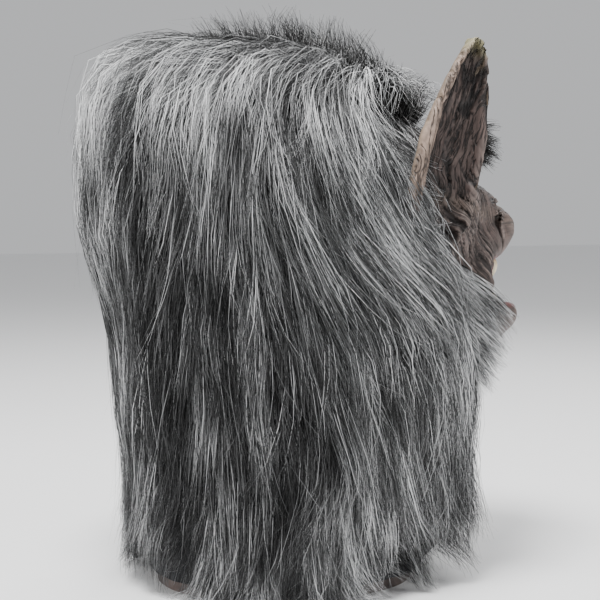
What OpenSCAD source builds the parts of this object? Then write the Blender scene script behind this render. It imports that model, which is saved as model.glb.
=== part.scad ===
// Overhead wolf mask: a hollow latex head with flexing jaw and ears, and panels of long fur.
// The origin is the centre of the neck opening, on the plane of the neck rim. +Z is up,
// the face looks along -Y, and the wearer's right is -X.

/* [Latex head] */
// Half width of the skull at the temples
skull_half_w = 86; // [74:1:104]
// Reach of the cheeks in front of the neck axis
skull_front = 120; // [106:1:138]
// Reach of the skull behind the neck axis
skull_back = 106; // [90:1:126]
// Height of the temples above the neck rim
temple_z = 240; // [210:1:280]
// Height of the dome above the temples
dome_h = 110; // [94:1:130]
// Half width of the neck where it is narrowest
neck_half_w = 72; // [62:1:84]
// Half depth of the neck where it is narrowest
neck_half_d = 80; // [70:1:94]
// How far the neck flares out at its rim
rim_flare = 8; // [2:1:12]
// Thickness of the latex
latex = 2; // [1.5:0.1:3]

/* [Muzzle] */
// How far the nose stands in front of the cheeks
muzzle_reach = 58; // [46:1:70]
// Half width of the flat part of the muzzle
muzzle_tip_half = 26; // [20:1:34]
// Half width of the muzzle where it leaves the cheeks
muzzle_root_half = 78; // [68:1:84]
// How far the brow ridge stands out
brow_reach = 18; // [10:1:24]
// Depth of the eye sockets
socket_depth = 9; // [4:1:12]

/* [Jaw] */
// Length of the jaw in front of its rear edge
jaw_reach = 76; // [62:1:92]
// Half width of the jaw at its rear edge
jaw_half_w = 48; // [40:1:50]
// Depth of the jaw from its lip to the underside of the chin
jaw_depth = 33; // [27:1:40]
// Height of the canine teeth
canine_h = 16; // [10:1:18]

/* [Ears] */
// Height of an ear
ear_h = 120; // [90:1:145]
// Greatest width of an ear
ear_w = 50; // [40:1:60]
// Depth of the hollow in an ear
ear_cup = 15; // [8:1:20]
// Outward tilt of an ear from upright
ear_splay = 8; // [4:1:16]

/* [Fur] */
// Pile thickness over the neck
neck_pile = 36; // [26:1:44]
// Pile thickness at the temples and the back of the skull
temple_pile = 42; // [32:1:50]
// Pile thickness at the top of the crown
crown_pile = 36; // [26:1:44]
// Extra pile that stands out at the back of the crown
crest_pile = 20; // [0:1:26]
// Pile thickness on the throat at the hem
throat_pile = 60; // [40:1:70]
// Pile thickness of the brows
brow_pile = 11; // [6:1:16]

/* [Hidden] */

latex_color = [0.50, 0.44, 0.41];
gum_color = [0.36, 0.10, 0.10];
tooth_color = [0.86, 0.80, 0.64];
tongue_color = [0.55, 0.18, 0.18];
fur_color = [0.46, 0.47, 0.49];
pale_fur_color = [0.72, 0.73, 0.75];
dark_fur_color = [0.12, 0.12, 0.13];

// Space that the knit backing and its glue take up between the latex and the pile
backing_gap = 1;
// Fur panels stop this far above the plane that the mask stands on
hem_z = 8;
hem_v = hem_z / temple_z;

// Heights of the face's features, as parts of the temple height
waist_z = 0.29 * temple_z;
throat_cut_v = 0.53;
lip_v = 0.925;
lip_z = lip_v * temple_z;
nose_z = 1.0 * temple_z;
eye_v = 1.255;
eye_z = 1.18 * temple_z;
brow_z = 1.27 * temple_z;

// Bearings round the head, in degrees from the face. The mouth is cut wide enough for the jaw.
jaw_clearance = 11;
cheek_a = asin(pow((jaw_half_w + jaw_clearance) / skull_half_w, 1 / 0.6));
eye_a = 16.5;
ear_a = 70;

// Rows and columns of the head's skin. Columns crowd together towards the face.
columns = 48;
crowding = 22;
function column_angle(t) = t - crowding * sin(t);
angles = [for (i = [0:columns - 1]) column_angle(-180 + i * 360 / columns)];
function band(from, to, count) = [for (i = [0:count - 1]) from + (to - from) * i / count];
levels = concat(band(0, 0.5, 6), band(0.5, 1, 14), band(1, 1.5, 10), band(1.5, 1.95, 5), [1.95]);

function unit(p) = p / max(norm(p), 1e-9);
function mix(a, b, t) = a + (b - a) * t;
function ease(t) = let (k = min(max(t, 0), 1)) k * k * (3 - 2 * k);
function ramp(x, from, to) = ease((x - from) / (to - from));
function bell(x, centre, reach) = 1 - ramp(abs(x - centre), 0, reach);
function signed_power(x, n) = sign(x) * pow(abs(x), n);

// The front half of the head is squarer than an ellipse, and most of all at the temples
temple_power = 0.58;
function face_power(v) = mix(0.8, temple_power, ramp(v, 0.3, 0.9));

// Half width, front reach and back reach of the head at height z, up to the temples
rim_girth = [neck_half_w + rim_flare, neck_half_d + rim_flare, neck_half_d + rim_flare];
waist_girth = [neck_half_w, neck_half_d, neck_half_d];
skull_girth = [skull_half_w, skull_front, skull_back];
function girth(z) = z < waist_z
    ? mix(rim_girth, waist_girth, ease(z / waist_z))
    : mix(waist_girth, skull_girth, ramp(z, waist_z, temple_z));

// A point of the plain head at bearing a and level v, moved outwards by grow.
// v runs from 0 at the rim to 1 at the temples and 2 at the top of the dome.
function oval(a, g, power) = cos(a) < 0
    ? [g[0] * sin(a), -g[2] * cos(a)]
    : [g[0] * signed_power(sin(a), power), -g[1] * pow(cos(a), power)];
function plain_point(a, v, grow) = let (
    rise = max(v - 1, 0) * 90,
    z = min(v, 1) * temple_z + (dome_h + grow) * sin(rise),
    g = (girth(min(v, 1) * temple_z) + [grow, grow, grow]) * cos(rise),
    flat = oval(a, g, face_power(v))
) [flat[0], flat[1], z];

// How far the face stands out in front of the plain head
function muzzle(x, z) = muzzle_reach
    * (1 - ramp(abs(x), muzzle_tip_half, muzzle_root_half))
    * (1 - ramp(z, nose_z, brow_z + 20))
    * ramp(z, 0.5 * temple_z, 0.8 * temple_z);
function brow(x, z) = brow_reach * bell(z, brow_z, 0.11 * temple_z)
    * (1 - ramp(abs(x), 0.5 * skull_half_w, 0.86 * skull_half_w));
function socket(x, z) = socket_depth * bell(abs(x), 0.42 * skull_half_w, 18) * bell(z, eye_z, 15);
function face_push(a, v) = let (p = plain_point(a, v, 0))
    cos(a) > 0 ? muzzle(p[0], p[2]) + brow(p[0], p[2]) - socket(p[0], p[2]) : 0;
function face_point(a, v, grow = 0) = plain_point(a, v, grow) - [0, face_push(a, v), 0];

// Outward normals of a grid of points. Rows run upwards and columns run from -X to +X.
function grid_normal(g, r, c, wrap) = let (
    rows = len(g),
    cols = len(g[0]),
    left = wrap ? (c + cols - 1) % cols : max(c - 1, 0),
    right = wrap ? (c + 1) % cols : min(c + 1, cols - 1),
    up = min(r + 1, rows - 1),
    down = max(r - 1, 0)
) unit(cross(g[r][right] - g[r][left], g[up][c] - g[down][c]));
function thinned(g, wall, wrap) = [
    for (r = [0:len(g) - 1]) [
        for (c = [0:len(g[0]) - 1])
            let (n = grid_normal(g, r, c, wrap))
            g[r][c] - wall * (r == 0 && wrap ? unit([n[0], n[1], 0]) : n)
    ]
];

// A sheet between an outer and an inner grid. kept(r, c) says which cells are solid, wrap joins
// the last column to the first, and cap closes the last row with a fan about its middle.
module sheet(outer, inner, kept = function(r, c) true, wrap = false, cap = false) {
    rows = len(outer);
    cols = len(outer[0]);
    cells = wrap ? cols : cols - 1;
    count = rows * cols;
    function mean(row) = row * [for (i = row) 1] / len(row);
    function solid(r, c) = r >= 0 && r < rows - 1
        && (wrap || (c >= 0 && c < cells))
        && kept(r, (c + cells) % cells);
    function id(r, c, side) = side * count + r * cols + c % cols;
    function quad(a, b, c, d) = [[a, b, c], [a, c, d]];
    poles = cap ? [outer[rows - 1], inner[rows - 1]] : [];
    points = concat(
        [for (row = outer) each row],
        [for (row = inner) each row],
        [for (row = poles) [for (k = [0:2]) mean([for (p = row) p[k]])]]
    );
    skins = [
        for (r = [0:rows - 2], c = [0:cells - 1])
            if (solid(r, c)) each concat(
                quad(id(r, c, 0), id(r + 1, c, 0), id(r + 1, c + 1, 0), id(r, c + 1, 0)),
                quad(id(r, c, 1), id(r, c + 1, 1), id(r + 1, c + 1, 1), id(r + 1, c, 1)),
                solid(r, c - 1) ? []
                    : quad(id(r, c, 0), id(r, c, 1), id(r + 1, c, 1), id(r + 1, c, 0)),
                solid(r, c + 1) ? []
                    : quad(id(r + 1, c + 1, 0), id(r + 1, c + 1, 1), id(r, c + 1, 1), id(r, c + 1, 0)),
                solid(r - 1, c) ? []
                    : quad(id(r, c + 1, 0), id(r, c + 1, 1), id(r, c, 1), id(r, c, 0)),
                solid(r + 1, c) || (cap && r == rows - 2) ? []
                    : quad(id(r + 1, c, 0), id(r + 1, c, 1), id(r + 1, c + 1, 1), id(r + 1, c + 1, 0))
            )
    ];
    fans = cap ? [
        for (c = [0:cells - 1]) each [
            [id(rows - 1, c, 0), 2 * count, id(rows - 1, c + 1, 0)],
            [id(rows - 1, c, 1), id(rows - 1, c + 1, 1), 2 * count + 1]
        ]
    ] : [];
    polyhedron(points, concat(skins, fans), convexity = 10);
}

// The middle of the skin cell that starts at row r and column c
function cell_a(c) = let (a = angles[c], b = c + 1 < columns ? angles[c + 1] : 180) (a + b) / 2;
function cell_v(r) = (levels[r] + levels[r + 1]) / 2;
function in_mouth(a, v) = abs(a) < cheek_a && v > throat_cut_v && v < lip_v;
function in_eye(a, v) = abs(abs(a) - eye_a) < 6 && abs(v - eye_v) < 0.05;

module head_shell() {
    outer = [for (v = levels) [for (a = angles) face_point(a, v)]];
    color(latex_color)
        sheet(outer, thinned(outer, latex, true),
            function(r, c) !in_mouth(cell_a(c), cell_v(r)) && !in_eye(cell_a(c), cell_v(r)),
            wrap = true, cap = true);
}

// The jaw is a scoop, open above and behind. turn goes round it from side to side, and sink
// goes from the lip to the underside.
jaw_rear_y = -0.87 * skull_front;
jaw_lip_z = 0.78 * temple_z;
function jaw_point(turn, sink) = let (
    girth_part = pow(cos(sink), 0.55)
) [
    jaw_half_w * signed_power(sin(turn), 0.85) * mix(0.6, 1, girth_part),
    jaw_rear_y - jaw_reach * girth_part * pow(cos(turn), 0.7),
    jaw_lip_z - jaw_depth * sin(sink)
];

module jaw_shell() {
    steps = 24;
    drops = 10;
    outer = [for (i = [drops:-1:0]) [for (j = [0:steps])
        jaw_point(-90 + 180 * j / steps, 90 * i / drops)]];
    color(latex_color) sheet(outer, thinned(outer, latex, false));
}

// The plan of a gum or palate: a rounded arch whose open end is at rear_y
module arch(half, rear_y, reach) {
    steps = 24;
    polygon([for (j = [0:steps]) let (turn = -90 + 180 * j / steps) [
        half * signed_power(sin(turn), 0.85),
        rear_y - reach * pow(cos(turn), 0.7)
    ]]);
}

module gum(half, reach, ridge_z, ridge_h, plate_z) {
    ridge_w = 9;
    plate_h = 3;
    translate([0, 0, ridge_z]) linear_extrude(ridge_h) difference() {
        arch(half, jaw_rear_y, reach);
        translate([0, 1, 0]) arch(half - ridge_w, jaw_rear_y, reach - ridge_w);
    }
    translate([0, 0, plate_z]) linear_extrude(plate_h) arch(half, jaw_rear_y, reach);
}

// One tooth of a row: how far round the arch it stands, its height and its radius at the gum
tooth_turns = [-78, -66, -55, -44, -31, -18, -8, 8, 18, 31, 44, 55, 66, 78];
function tooth_h(turn) = abs(abs(turn) - 31) < 1 ? canine_h : mix(5, 7, abs(turn) / 78);
function tooth_r(turn) = abs(abs(turn) - 31) < 1 ? 3.6 : mix(2.0, 3.0, abs(turn) / 78);

module teeth(half, reach, gum_z, up) {
    inset = 4.5;
    for (turn = tooth_turns)
        translate([
            (half - inset) * signed_power(sin(turn), 0.85),
            jaw_rear_y - (reach - inset) * pow(cos(turn), 0.7),
            gum_z
        ])
            rotate([up ? 0 : 180, 0, 0])
                cylinder(h = tooth_h(turn), r1 = tooth_r(turn), r2 = 0.5, $fn = 24);
}

// Sizes of the two mouth inserts: they sit just inside the lips
upper_half = 37;
upper_reach = muzzle_reach + skull_front + jaw_rear_y - 12;
upper_gum_z = lip_z + 1;
upper_ridge_h = 6;
lower_half = jaw_half_w - 9;
lower_reach = jaw_reach - 11;
lower_gum_z = jaw_lip_z - 10;
lower_ridge_h = 8;

module upper_gum() {
    color(gum_color)
        gum(upper_half, upper_reach, upper_gum_z, upper_ridge_h, upper_gum_z + upper_ridge_h);
}

module upper_teeth() {
    color(tooth_color) teeth(upper_half, upper_reach, upper_gum_z, false);
}

module lower_gum() {
    color(gum_color)
        gum(lower_half, lower_reach, lower_gum_z, lower_ridge_h, lower_gum_z - 3);
}

module lower_teeth() {
    color(tooth_color) teeth(lower_half, lower_reach, lower_gum_z + lower_ridge_h, true);
}

module tongue() {
    tongue_half = lower_half - 16;
    tongue_h = 7;
    color(tongue_color)
        translate([0, 0, lower_gum_z])
            linear_extrude(tongue_h) arch(tongue_half, jaw_rear_y + 2, lower_reach - 20);
}

// One ear, upright, hollow side towards -X, before it is set on the head
function ear_half(s) = 0.58 * ear_w * pow(1 - s, 0.6) * (0.75 + 0.9 * s);
function ear_point(s, c, back) = [
    -ear_cup * c * c * mix(1, 0.55, s) + back * mix(4.5, 2.6, s),
    -c * ear_half(s),
    s * ear_h
];
ear_gap = 7;
ear_root = plain_point(-ear_a, 1.08, ear_gap);
ear_yaw = 8;
ear_lean = 12;

module ear() {
    rise_steps = 14;
    cross_steps = 10;
    tip = 0.975;
    function grid(back) = [for (i = [0:rise_steps]) [for (j = [0:cross_steps])
        ear_point(tip * i / rise_steps, -1 + 2 * j / cross_steps, back)]];
    translate(ear_root)
        rotate([ear_lean, -ear_splay, ear_yaw])
            sheet(grid(1), grid(0));
}

module right_ear() {
    color(latex_color) ear();
}

module left_ear() {
    color(latex_color) mirror([1, 0, 0]) ear();
}

// Pile thickness of the hood at bearing a and level v
function backness(a) = (1 - cos(a)) / 2;
function pile(a, v) = v < 1
    ? mix(neck_pile, temple_pile, ramp(v, 0.3, 0.95))
    : mix(temple_pile, crown_pile, ramp(v, 1.3, 1.9)) + crest_pile * backness(a) * bell(v, 1.45, 0.45);

// Where the fur starts: the crown's lower edge, and the front edge of the side panels
panel_gap_v = 0.012;
panel_gap_a = 0.8;
function crown_edge_v(a) = mix(1.62, 1.36, ramp(abs(a), 70, 100));
side_low_a = 54;
side_rear_a = 138;
edge_pile = 0.5;
ear_clearance = 6;
ear_rear_y = ear_root[1] + ear_w / 2 + ear_clearance;
side_high_a = acos(pow(-ear_rear_y / (skull_front + edge_pile * temple_pile), 1 / temple_power));
function side_edge_a(v) = mix(side_low_a, side_high_a, ramp(v, 0.7, 0.98));

module fur_sheet(point) {
    across = 12;
    up = 20;
    function grid(out) = [for (i = [0:up]) [for (j = [0:across]) point(j / across, i / up, out)]];
    sheet(grid(1), grid(0));
}

function pile_point(a, v, out, thickness) = face_point(a, v, out > 0 ? thickness : backing_gap);

module crown_fur() {
    pole_v = 1.94;
    steps = 36;
    rows = 9;
    function grid(out) = [for (i = [0:rows]) [for (j = [0:steps - 1])
        let (
            a = -180 + 360 * j / steps,
            v = mix(crown_edge_v(a), pole_v, i / rows)
        )
        pile_point(a, v, out, pile(a, v))]];
    color(fur_color) sheet(grid(1), grid(0), wrap = true, cap = true);
}

module back_fur() {
    half_a = 180 - side_rear_a - panel_gap_a;
    color(fur_color) fur_sheet(function(s, t, out)
        let (
            a = 180 + mix(-half_a, half_a, s),
            v = mix(hem_v, crown_edge_v(180) - panel_gap_v, t)
        )
        pile_point(a, v, out, pile(a, v)));
}

module side_fur() {
    color(fur_color) fur_sheet(function(s, t, out)
        let (
            a = mix(side_edge_a(mix(hem_v, crown_edge_v(side_high_a), t)), side_rear_a, s),
            v = mix(hem_v, crown_edge_v(a) - panel_gap_v, t),
            flattened = mix(1, mix(edge_pile, 1, ramp(s, 0, 0.35)), ramp(v, 0.5, 0.8))
        )
        pile_point(a, v, out, pile(a, v) * flattened));
}

module left_side_fur() {
    side_fur();
}

module right_side_fur() {
    mirror([1, 0, 0]) side_fur();
}

throat_top_v = 0.35;
throat_side_a = cheek_a + 1.6;
module throat_fur() {
    color(pale_fur_color) fur_sheet(function(s, t, out)
        pile_point(
            mix(-throat_side_a, throat_side_a, s),
            mix(hem_v, throat_top_v, t),
            out,
            mix(throat_pile, 0.75 * throat_pile, t)
        ));
}

// The cheek panels run up the head from the hem to just below the cheekbones
cheek_top_v = 0.8;
module cheek_fur() {
    color(pale_fur_color) fur_sheet(function(s, t, out)
        pile_point(
            mix(throat_side_a + panel_gap_a, side_low_a - panel_gap_a, s),
            mix(hem_v, cheek_top_v, t),
            out,
            mix(mix(throat_pile, neck_pile, s), 0.6 * neck_pile, ramp(t, 0.2, 1))
        ));
}

module left_cheek_fur() {
    cheek_fur();
}

module right_cheek_fur() {
    mirror([1, 0, 0]) cheek_fur();
}

// The beard hangs from the underside of the jaw and moves with it
module chin_fur() {
    beard_half = 0.6 * jaw_half_w;
    beard_top = jaw_lip_z - jaw_depth - backing_gap;
    beard_h = 40;
    beard_front = jaw_rear_y - 0.62 * jaw_reach;
    beard_back = jaw_rear_y - 0.1 * jaw_reach;
    taper = 0.55;
    color(pale_fur_color) hull() {
        translate([0, 0, beard_top - 1])
            linear_extrude(1) polygon([
                [-beard_half, beard_back],
                [beard_half, beard_back],
                [0.7 * beard_half, beard_front],
                [-0.7 * beard_half, beard_front]
            ]);
        translate([0, 0, beard_top - beard_h])
            linear_extrude(1) polygon([
                [-taper * beard_half, beard_back - 6],
                [taper * beard_half, beard_back - 6],
                [0.4 * beard_half, beard_front + 6],
                [-0.4 * beard_half, beard_front + 6]
            ]);
    }
}

module forelock() {
    lock_half_a = 42;
    lock_pile = 20;
    color(dark_fur_color) fur_sheet(function(s, t, out)
        let (
            a = mix(-lock_half_a, lock_half_a, s),
            v = mix(1.49, 1.62 - panel_gap_v, t)
        )
        pile_point(a, v, out, lock_pile * mix(0.5, 1, t)));
}

// A brow lies on the ridge over an eye and sticks out forwards and up
module brow_fur() {
    stick = unit([0, -0.85, 0.5]);
    color(dark_fur_color) fur_sheet(function(s, t, out)
        face_point(mix(9, 33, s), mix(1.36, 1.43, t)) + stick * (out > 0 ? brow_pile : backing_gap));
}

module left_brow_fur() {
    brow_fur();
}

module right_brow_fur() {
    mirror([1, 0, 0]) brow_fur();
}

head_shell();
jaw_shell();
right_ear();
left_ear();
upper_gum();
upper_teeth();
lower_gum();
lower_teeth();
tongue();
crown_fur();
back_fur();
right_side_fur();
left_side_fur();
throat_fur();
right_cheek_fur();
left_cheek_fur();
chin_fur();
forelock();
right_brow_fur();
left_brow_fur();
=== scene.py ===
"""Overhead wolf mask: a sculpted latex head split into head, jaw and ear pieces, under a hood of long
fur.

Lengths inside the classes are in millimetres and turn into metres when a mesh is made. The face
looks along -Y, +Z is up and the wearer's right is -X.
"""

import logging
import math
from dataclasses import dataclass
from enum import Enum
from typing import Callable, Iterable, Sequence

import bpy
import numpy as np
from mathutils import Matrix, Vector
from mathutils.kdtree import KDTree


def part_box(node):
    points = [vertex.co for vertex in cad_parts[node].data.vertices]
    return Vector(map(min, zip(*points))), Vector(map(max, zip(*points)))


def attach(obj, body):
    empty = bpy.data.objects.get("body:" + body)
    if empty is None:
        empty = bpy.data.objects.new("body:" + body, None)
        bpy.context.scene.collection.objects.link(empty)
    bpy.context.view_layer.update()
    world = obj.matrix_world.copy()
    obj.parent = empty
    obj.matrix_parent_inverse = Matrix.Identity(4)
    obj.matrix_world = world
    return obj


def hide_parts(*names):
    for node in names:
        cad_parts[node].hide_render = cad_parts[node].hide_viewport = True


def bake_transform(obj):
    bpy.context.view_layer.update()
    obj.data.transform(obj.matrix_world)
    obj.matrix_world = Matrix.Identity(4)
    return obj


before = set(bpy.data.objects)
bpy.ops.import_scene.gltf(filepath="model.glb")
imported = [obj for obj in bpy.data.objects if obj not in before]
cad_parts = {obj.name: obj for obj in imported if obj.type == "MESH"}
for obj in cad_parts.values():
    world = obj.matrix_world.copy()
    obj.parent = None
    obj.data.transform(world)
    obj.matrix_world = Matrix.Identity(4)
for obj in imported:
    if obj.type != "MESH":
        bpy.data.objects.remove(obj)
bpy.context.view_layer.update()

log = logging.getLogger("wolf_mask")
MM = 0.001
Array = np.ndarray
Colour = tuple[float, float, float]


class Body(Enum):
    """The bodies that pieces move with."""

    HEAD = "head"
    JAW = "jaw"
    RIGHT_EAR = "right_ear"
    LEFT_EAR = "left_ear"


class Slot(Enum):
    """The material slots of the CAD nodes."""

    SKIN = "latex_skin"
    GUM = "latex_gum"
    TEETH = "latex_teeth"
    TONGUE = "latex_tongue"
    GREY_FUR = "grey_fur"
    PALE_FUR = "pale_fur"
    DARK_FUR = "dark_fur"


def tie(piece: bpy.types.Object, body: Body, node: str) -> None:
    """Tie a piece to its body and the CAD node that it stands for."""
    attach(piece, body.value)
    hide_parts(node)


# ---------------------------------------------------------------- small sums


def ease(t: Array) -> Array:
    """Return the smooth step of t, held between 0 and 1."""
    t = np.clip(t, 0.0, 1.0)
    return t * t * (3 - 2 * t)


def ramp(x: Array, start: float | Array, end: float | Array) -> Array:
    """Return how far x has gone from start to end, eased at both ends."""
    return ease((x - start) / (end - start))


def bell(x: Array, centre: float | Array, reach: float | Array) -> Array:
    """Return 1 at centre, falling smoothly to 0 at reach on either side of it."""
    return 1 - ramp(np.abs(x - centre), 0, reach)


def mix(a: Array, b: Array, t: Array) -> Array:
    """Return the value a share t of the way from a to b."""
    return a + (b - a) * t


def unit(v: Array) -> Array:
    """Return the vectors of v at length 1."""
    return v / np.maximum(np.linalg.norm(v, axis=-1, keepdims=True), 1e-9)


class Noise:
    """Smooth seeded noise on a repeating lattice."""

    SIZE = 32

    def __init__(self, seed: int) -> None:
        """Fill the lattice.

        Args:
            seed: Picks the lattice's values.
        """
        self.lattice = np.random.default_rng(seed).uniform(-1, 1, (self.SIZE,) * 3)

    def at(self, x: Array, y: Array | float = 0.0, z: Array | float = 0.0) -> Array:
        """Return noise between -1 and 1 at points given in lattice cells.

        Args:
            x: Coordinates in lattice cells.
            y: The same along the second axis.
            z: The same along the third axis.
        """
        spots = np.broadcast_arrays(np.asarray(x, float), y, z)
        low = [np.floor(s).astype(int) for s in spots]
        part = [ease(s - f) for s, f in zip(spots, low)]
        total = np.zeros(spots[0].shape)
        for corner in np.ndindex(2, 2, 2):
            weight = np.ones(spots[0].shape)
            index = []
            for axis, step in enumerate(corner):
                weight = weight * (part[axis] if step else 1 - part[axis])
                index.append((low[axis] + step) % self.SIZE)
            total += weight * self.lattice[tuple(index)]
        return total * 1.6


# ---------------------------------------------------------------- the head's plain form


@dataclass(frozen=True)
class HeadForm:
    """The plain head that the latex is sculpted on and the fur is rooted in.

    A place on it is a bearing in degrees, 0 at the face and 180 at the back, and a level: 0 at
    the neck rim, 1 at the temples and 2 at the top of the dome.
    """

    half_w: float
    front: float
    back: float
    temple_z: float
    dome_h: float
    neck_half_w: float
    neck_half_d: float
    rim_flare: float

    @classmethod
    def from_frame(cls) -> "HeadForm":
        """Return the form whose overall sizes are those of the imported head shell."""
        high = np.array(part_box("head_shell")[1]) / MM
        height, half_w = high[2], high[0]
        return cls(
            half_w=half_w,
            front=1.395 * half_w,
            back=high[1],
            temple_z=0.6857 * height,
            dome_h=0.3143 * height,
            neck_half_w=0.837 * half_w,
            neck_half_d=0.755 * high[1],
            rim_flare=8.0,
        )

    def girth(self, z: Array) -> tuple[Array, Array, Array]:
        """Return the half width, front reach and back reach at height z below the temples.

        Args:
            z: Heights from the rim to the temples.
        """
        waist = 0.29 * self.temple_z
        low = ease(z / waist)
        high = ramp(z, waist, self.temple_z)
        rim_w = self.neck_half_w + self.rim_flare
        rim_d = self.neck_half_d + self.rim_flare
        below = z < waist
        width = np.where(
            below, mix(rim_w, self.neck_half_w, low), mix(self.neck_half_w, self.half_w, high)
        )
        depth = mix(rim_d, self.neck_half_d, low)
        front = np.where(below, depth, mix(self.neck_half_d, self.front, high))
        back = np.where(below, depth, mix(self.neck_half_d, self.back, high))
        return width, front, back

    @staticmethod
    def power(level: Array) -> Array:
        """Return how square the front of the head is at a level; 1 is an ellipse."""
        return mix(0.8, 0.58, ramp(level, 0.3, 0.9))

    def point(self, bearing: Array, level: Array, grow: Array | float = 0.0) -> Array:
        """Return points of the head moved outwards.

        Args:
            bearing: Degrees round the head from the face, positive to the wearer's left.
            level: Height up the head, from 0 to 2.
            grow: How far outside the plain head the points lie.

        Returns:
            Points in the last axis.
        """
        rise = np.maximum(level - 1, 0) * math.pi / 2
        width, front, back = self.girth(np.minimum(level, 1) * self.temple_z)
        turn = np.radians(bearing)
        sine, cosine = np.sin(turn), np.cos(turn)
        power = self.power(level)
        ahead = cosine >= 0
        x = (width + grow) * np.where(ahead, np.sign(sine) * np.abs(sine) ** power, sine)
        y_front = -(front + grow) * np.abs(cosine) ** power
        y_back = -(back + grow) * cosine
        flat = np.cos(rise)
        z = np.minimum(level, 1) * self.temple_z + (self.dome_h + grow) * np.sin(rise)
        return np.stack([x * flat, np.where(ahead, y_front, y_back) * flat, z], axis=-1)

    def distance(self, x: Array, y: Array, z: Array) -> Array:
        """Return roughly how far points lie outside the plain head, below 0 inside.

        Args:
            x: Coordinates along X.
            y: Coordinates along Y.
            z: Heights.
        """
        low = np.minimum(z, self.temple_z)
        width, front, back = self.girth(np.maximum(low, 0))
        power = self.power(low / self.temple_z)
        ahead = y < 0
        exponent = np.where(ahead, 2 / power, 2.0)
        depth = np.where(ahead, front, back)
        ring = ((np.abs(x) / width) ** exponent + (np.abs(y) / depth) ** exponent) ** (1 / exponent)
        up = np.maximum(z - self.temple_z, 0) / self.dome_h
        return (np.sqrt(ring**2 + up**2) - 1) * 0.5 * (width + depth) * 0.95


@dataclass(frozen=True)
class HoodForm:
    """Thickness and edges of the fur hood on a head form."""

    head: HeadForm
    neck_pile: float = 36.0
    temple_pile: float = 42.0
    crown_pile: float = 29.0
    crest_pile: float = 20.0
    throat_pile: float = 60.0

    @staticmethod
    def face_edge(level: Array) -> Array:
        """Return the bearing at which the side fur starts behind the ear and cheek."""
        return mix(54.0, 84.0, ramp(level, 0.7, 0.98))

    @staticmethod
    def reach_edge(level: Array) -> Array:
        """Return how near the face, in bearing, the side fur hangs."""
        return mix(35.0, 70.0, ramp(level, 0.68, 1.0)) + 12.0 * ramp(level, 1.08, 1.4)

    @staticmethod
    def crown_edge(bearing: Array) -> Array:
        """Return the level of the crown panel's lower edge."""
        return mix(1.62, 1.36, ramp(np.abs(bearing), 70, 100))

    def pile(self, bearing: Array, level: Array) -> Array:
        """Return how thick the fur is at a place on the head.

        Args:
            bearing: Bearings in degrees.
            level: Levels on the head.
        """
        backness = (1 - np.cos(np.radians(bearing))) / 2
        waist = 0.22 * backness
        side = mix(self.neck_pile, self.temple_pile, ramp(level, 0.3 + waist, 0.95))
        crown = mix(self.temple_pile, self.crown_pile, ramp(level, 1.3, 1.9))
        crown = crown + self.crest_pile * backness * bell(level, 1.45, 0.45)
        crown = crown + 14.0 * backness**2 * bell(level, 1.50, 0.38)
        side = side - 12.0 * backness**2 * bell(level, 0.78, 0.36)
        thick = np.where(level < 1, side, crown)
        away = np.abs(bearing) - self.face_edge(level)
        flat = mix(0.74, 1.0, ramp(away, -10, 16))
        thick = thick * np.where(level < 1.45, mix(1.0, flat, ramp(level, 0.5, 0.8)), 1.0)
        front = self.throat_pile * mix(1.0, 0.45, ramp(level, 0.3, 0.85))
        front = front + 9.0 * (1 - ramp(level, 0.15, 0.35))
        return mix(front, thick, ramp(np.abs(bearing), 34, 62) * (level < 1) + (level >= 1))


# ---------------------------------------------------------------- meshes


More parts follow.
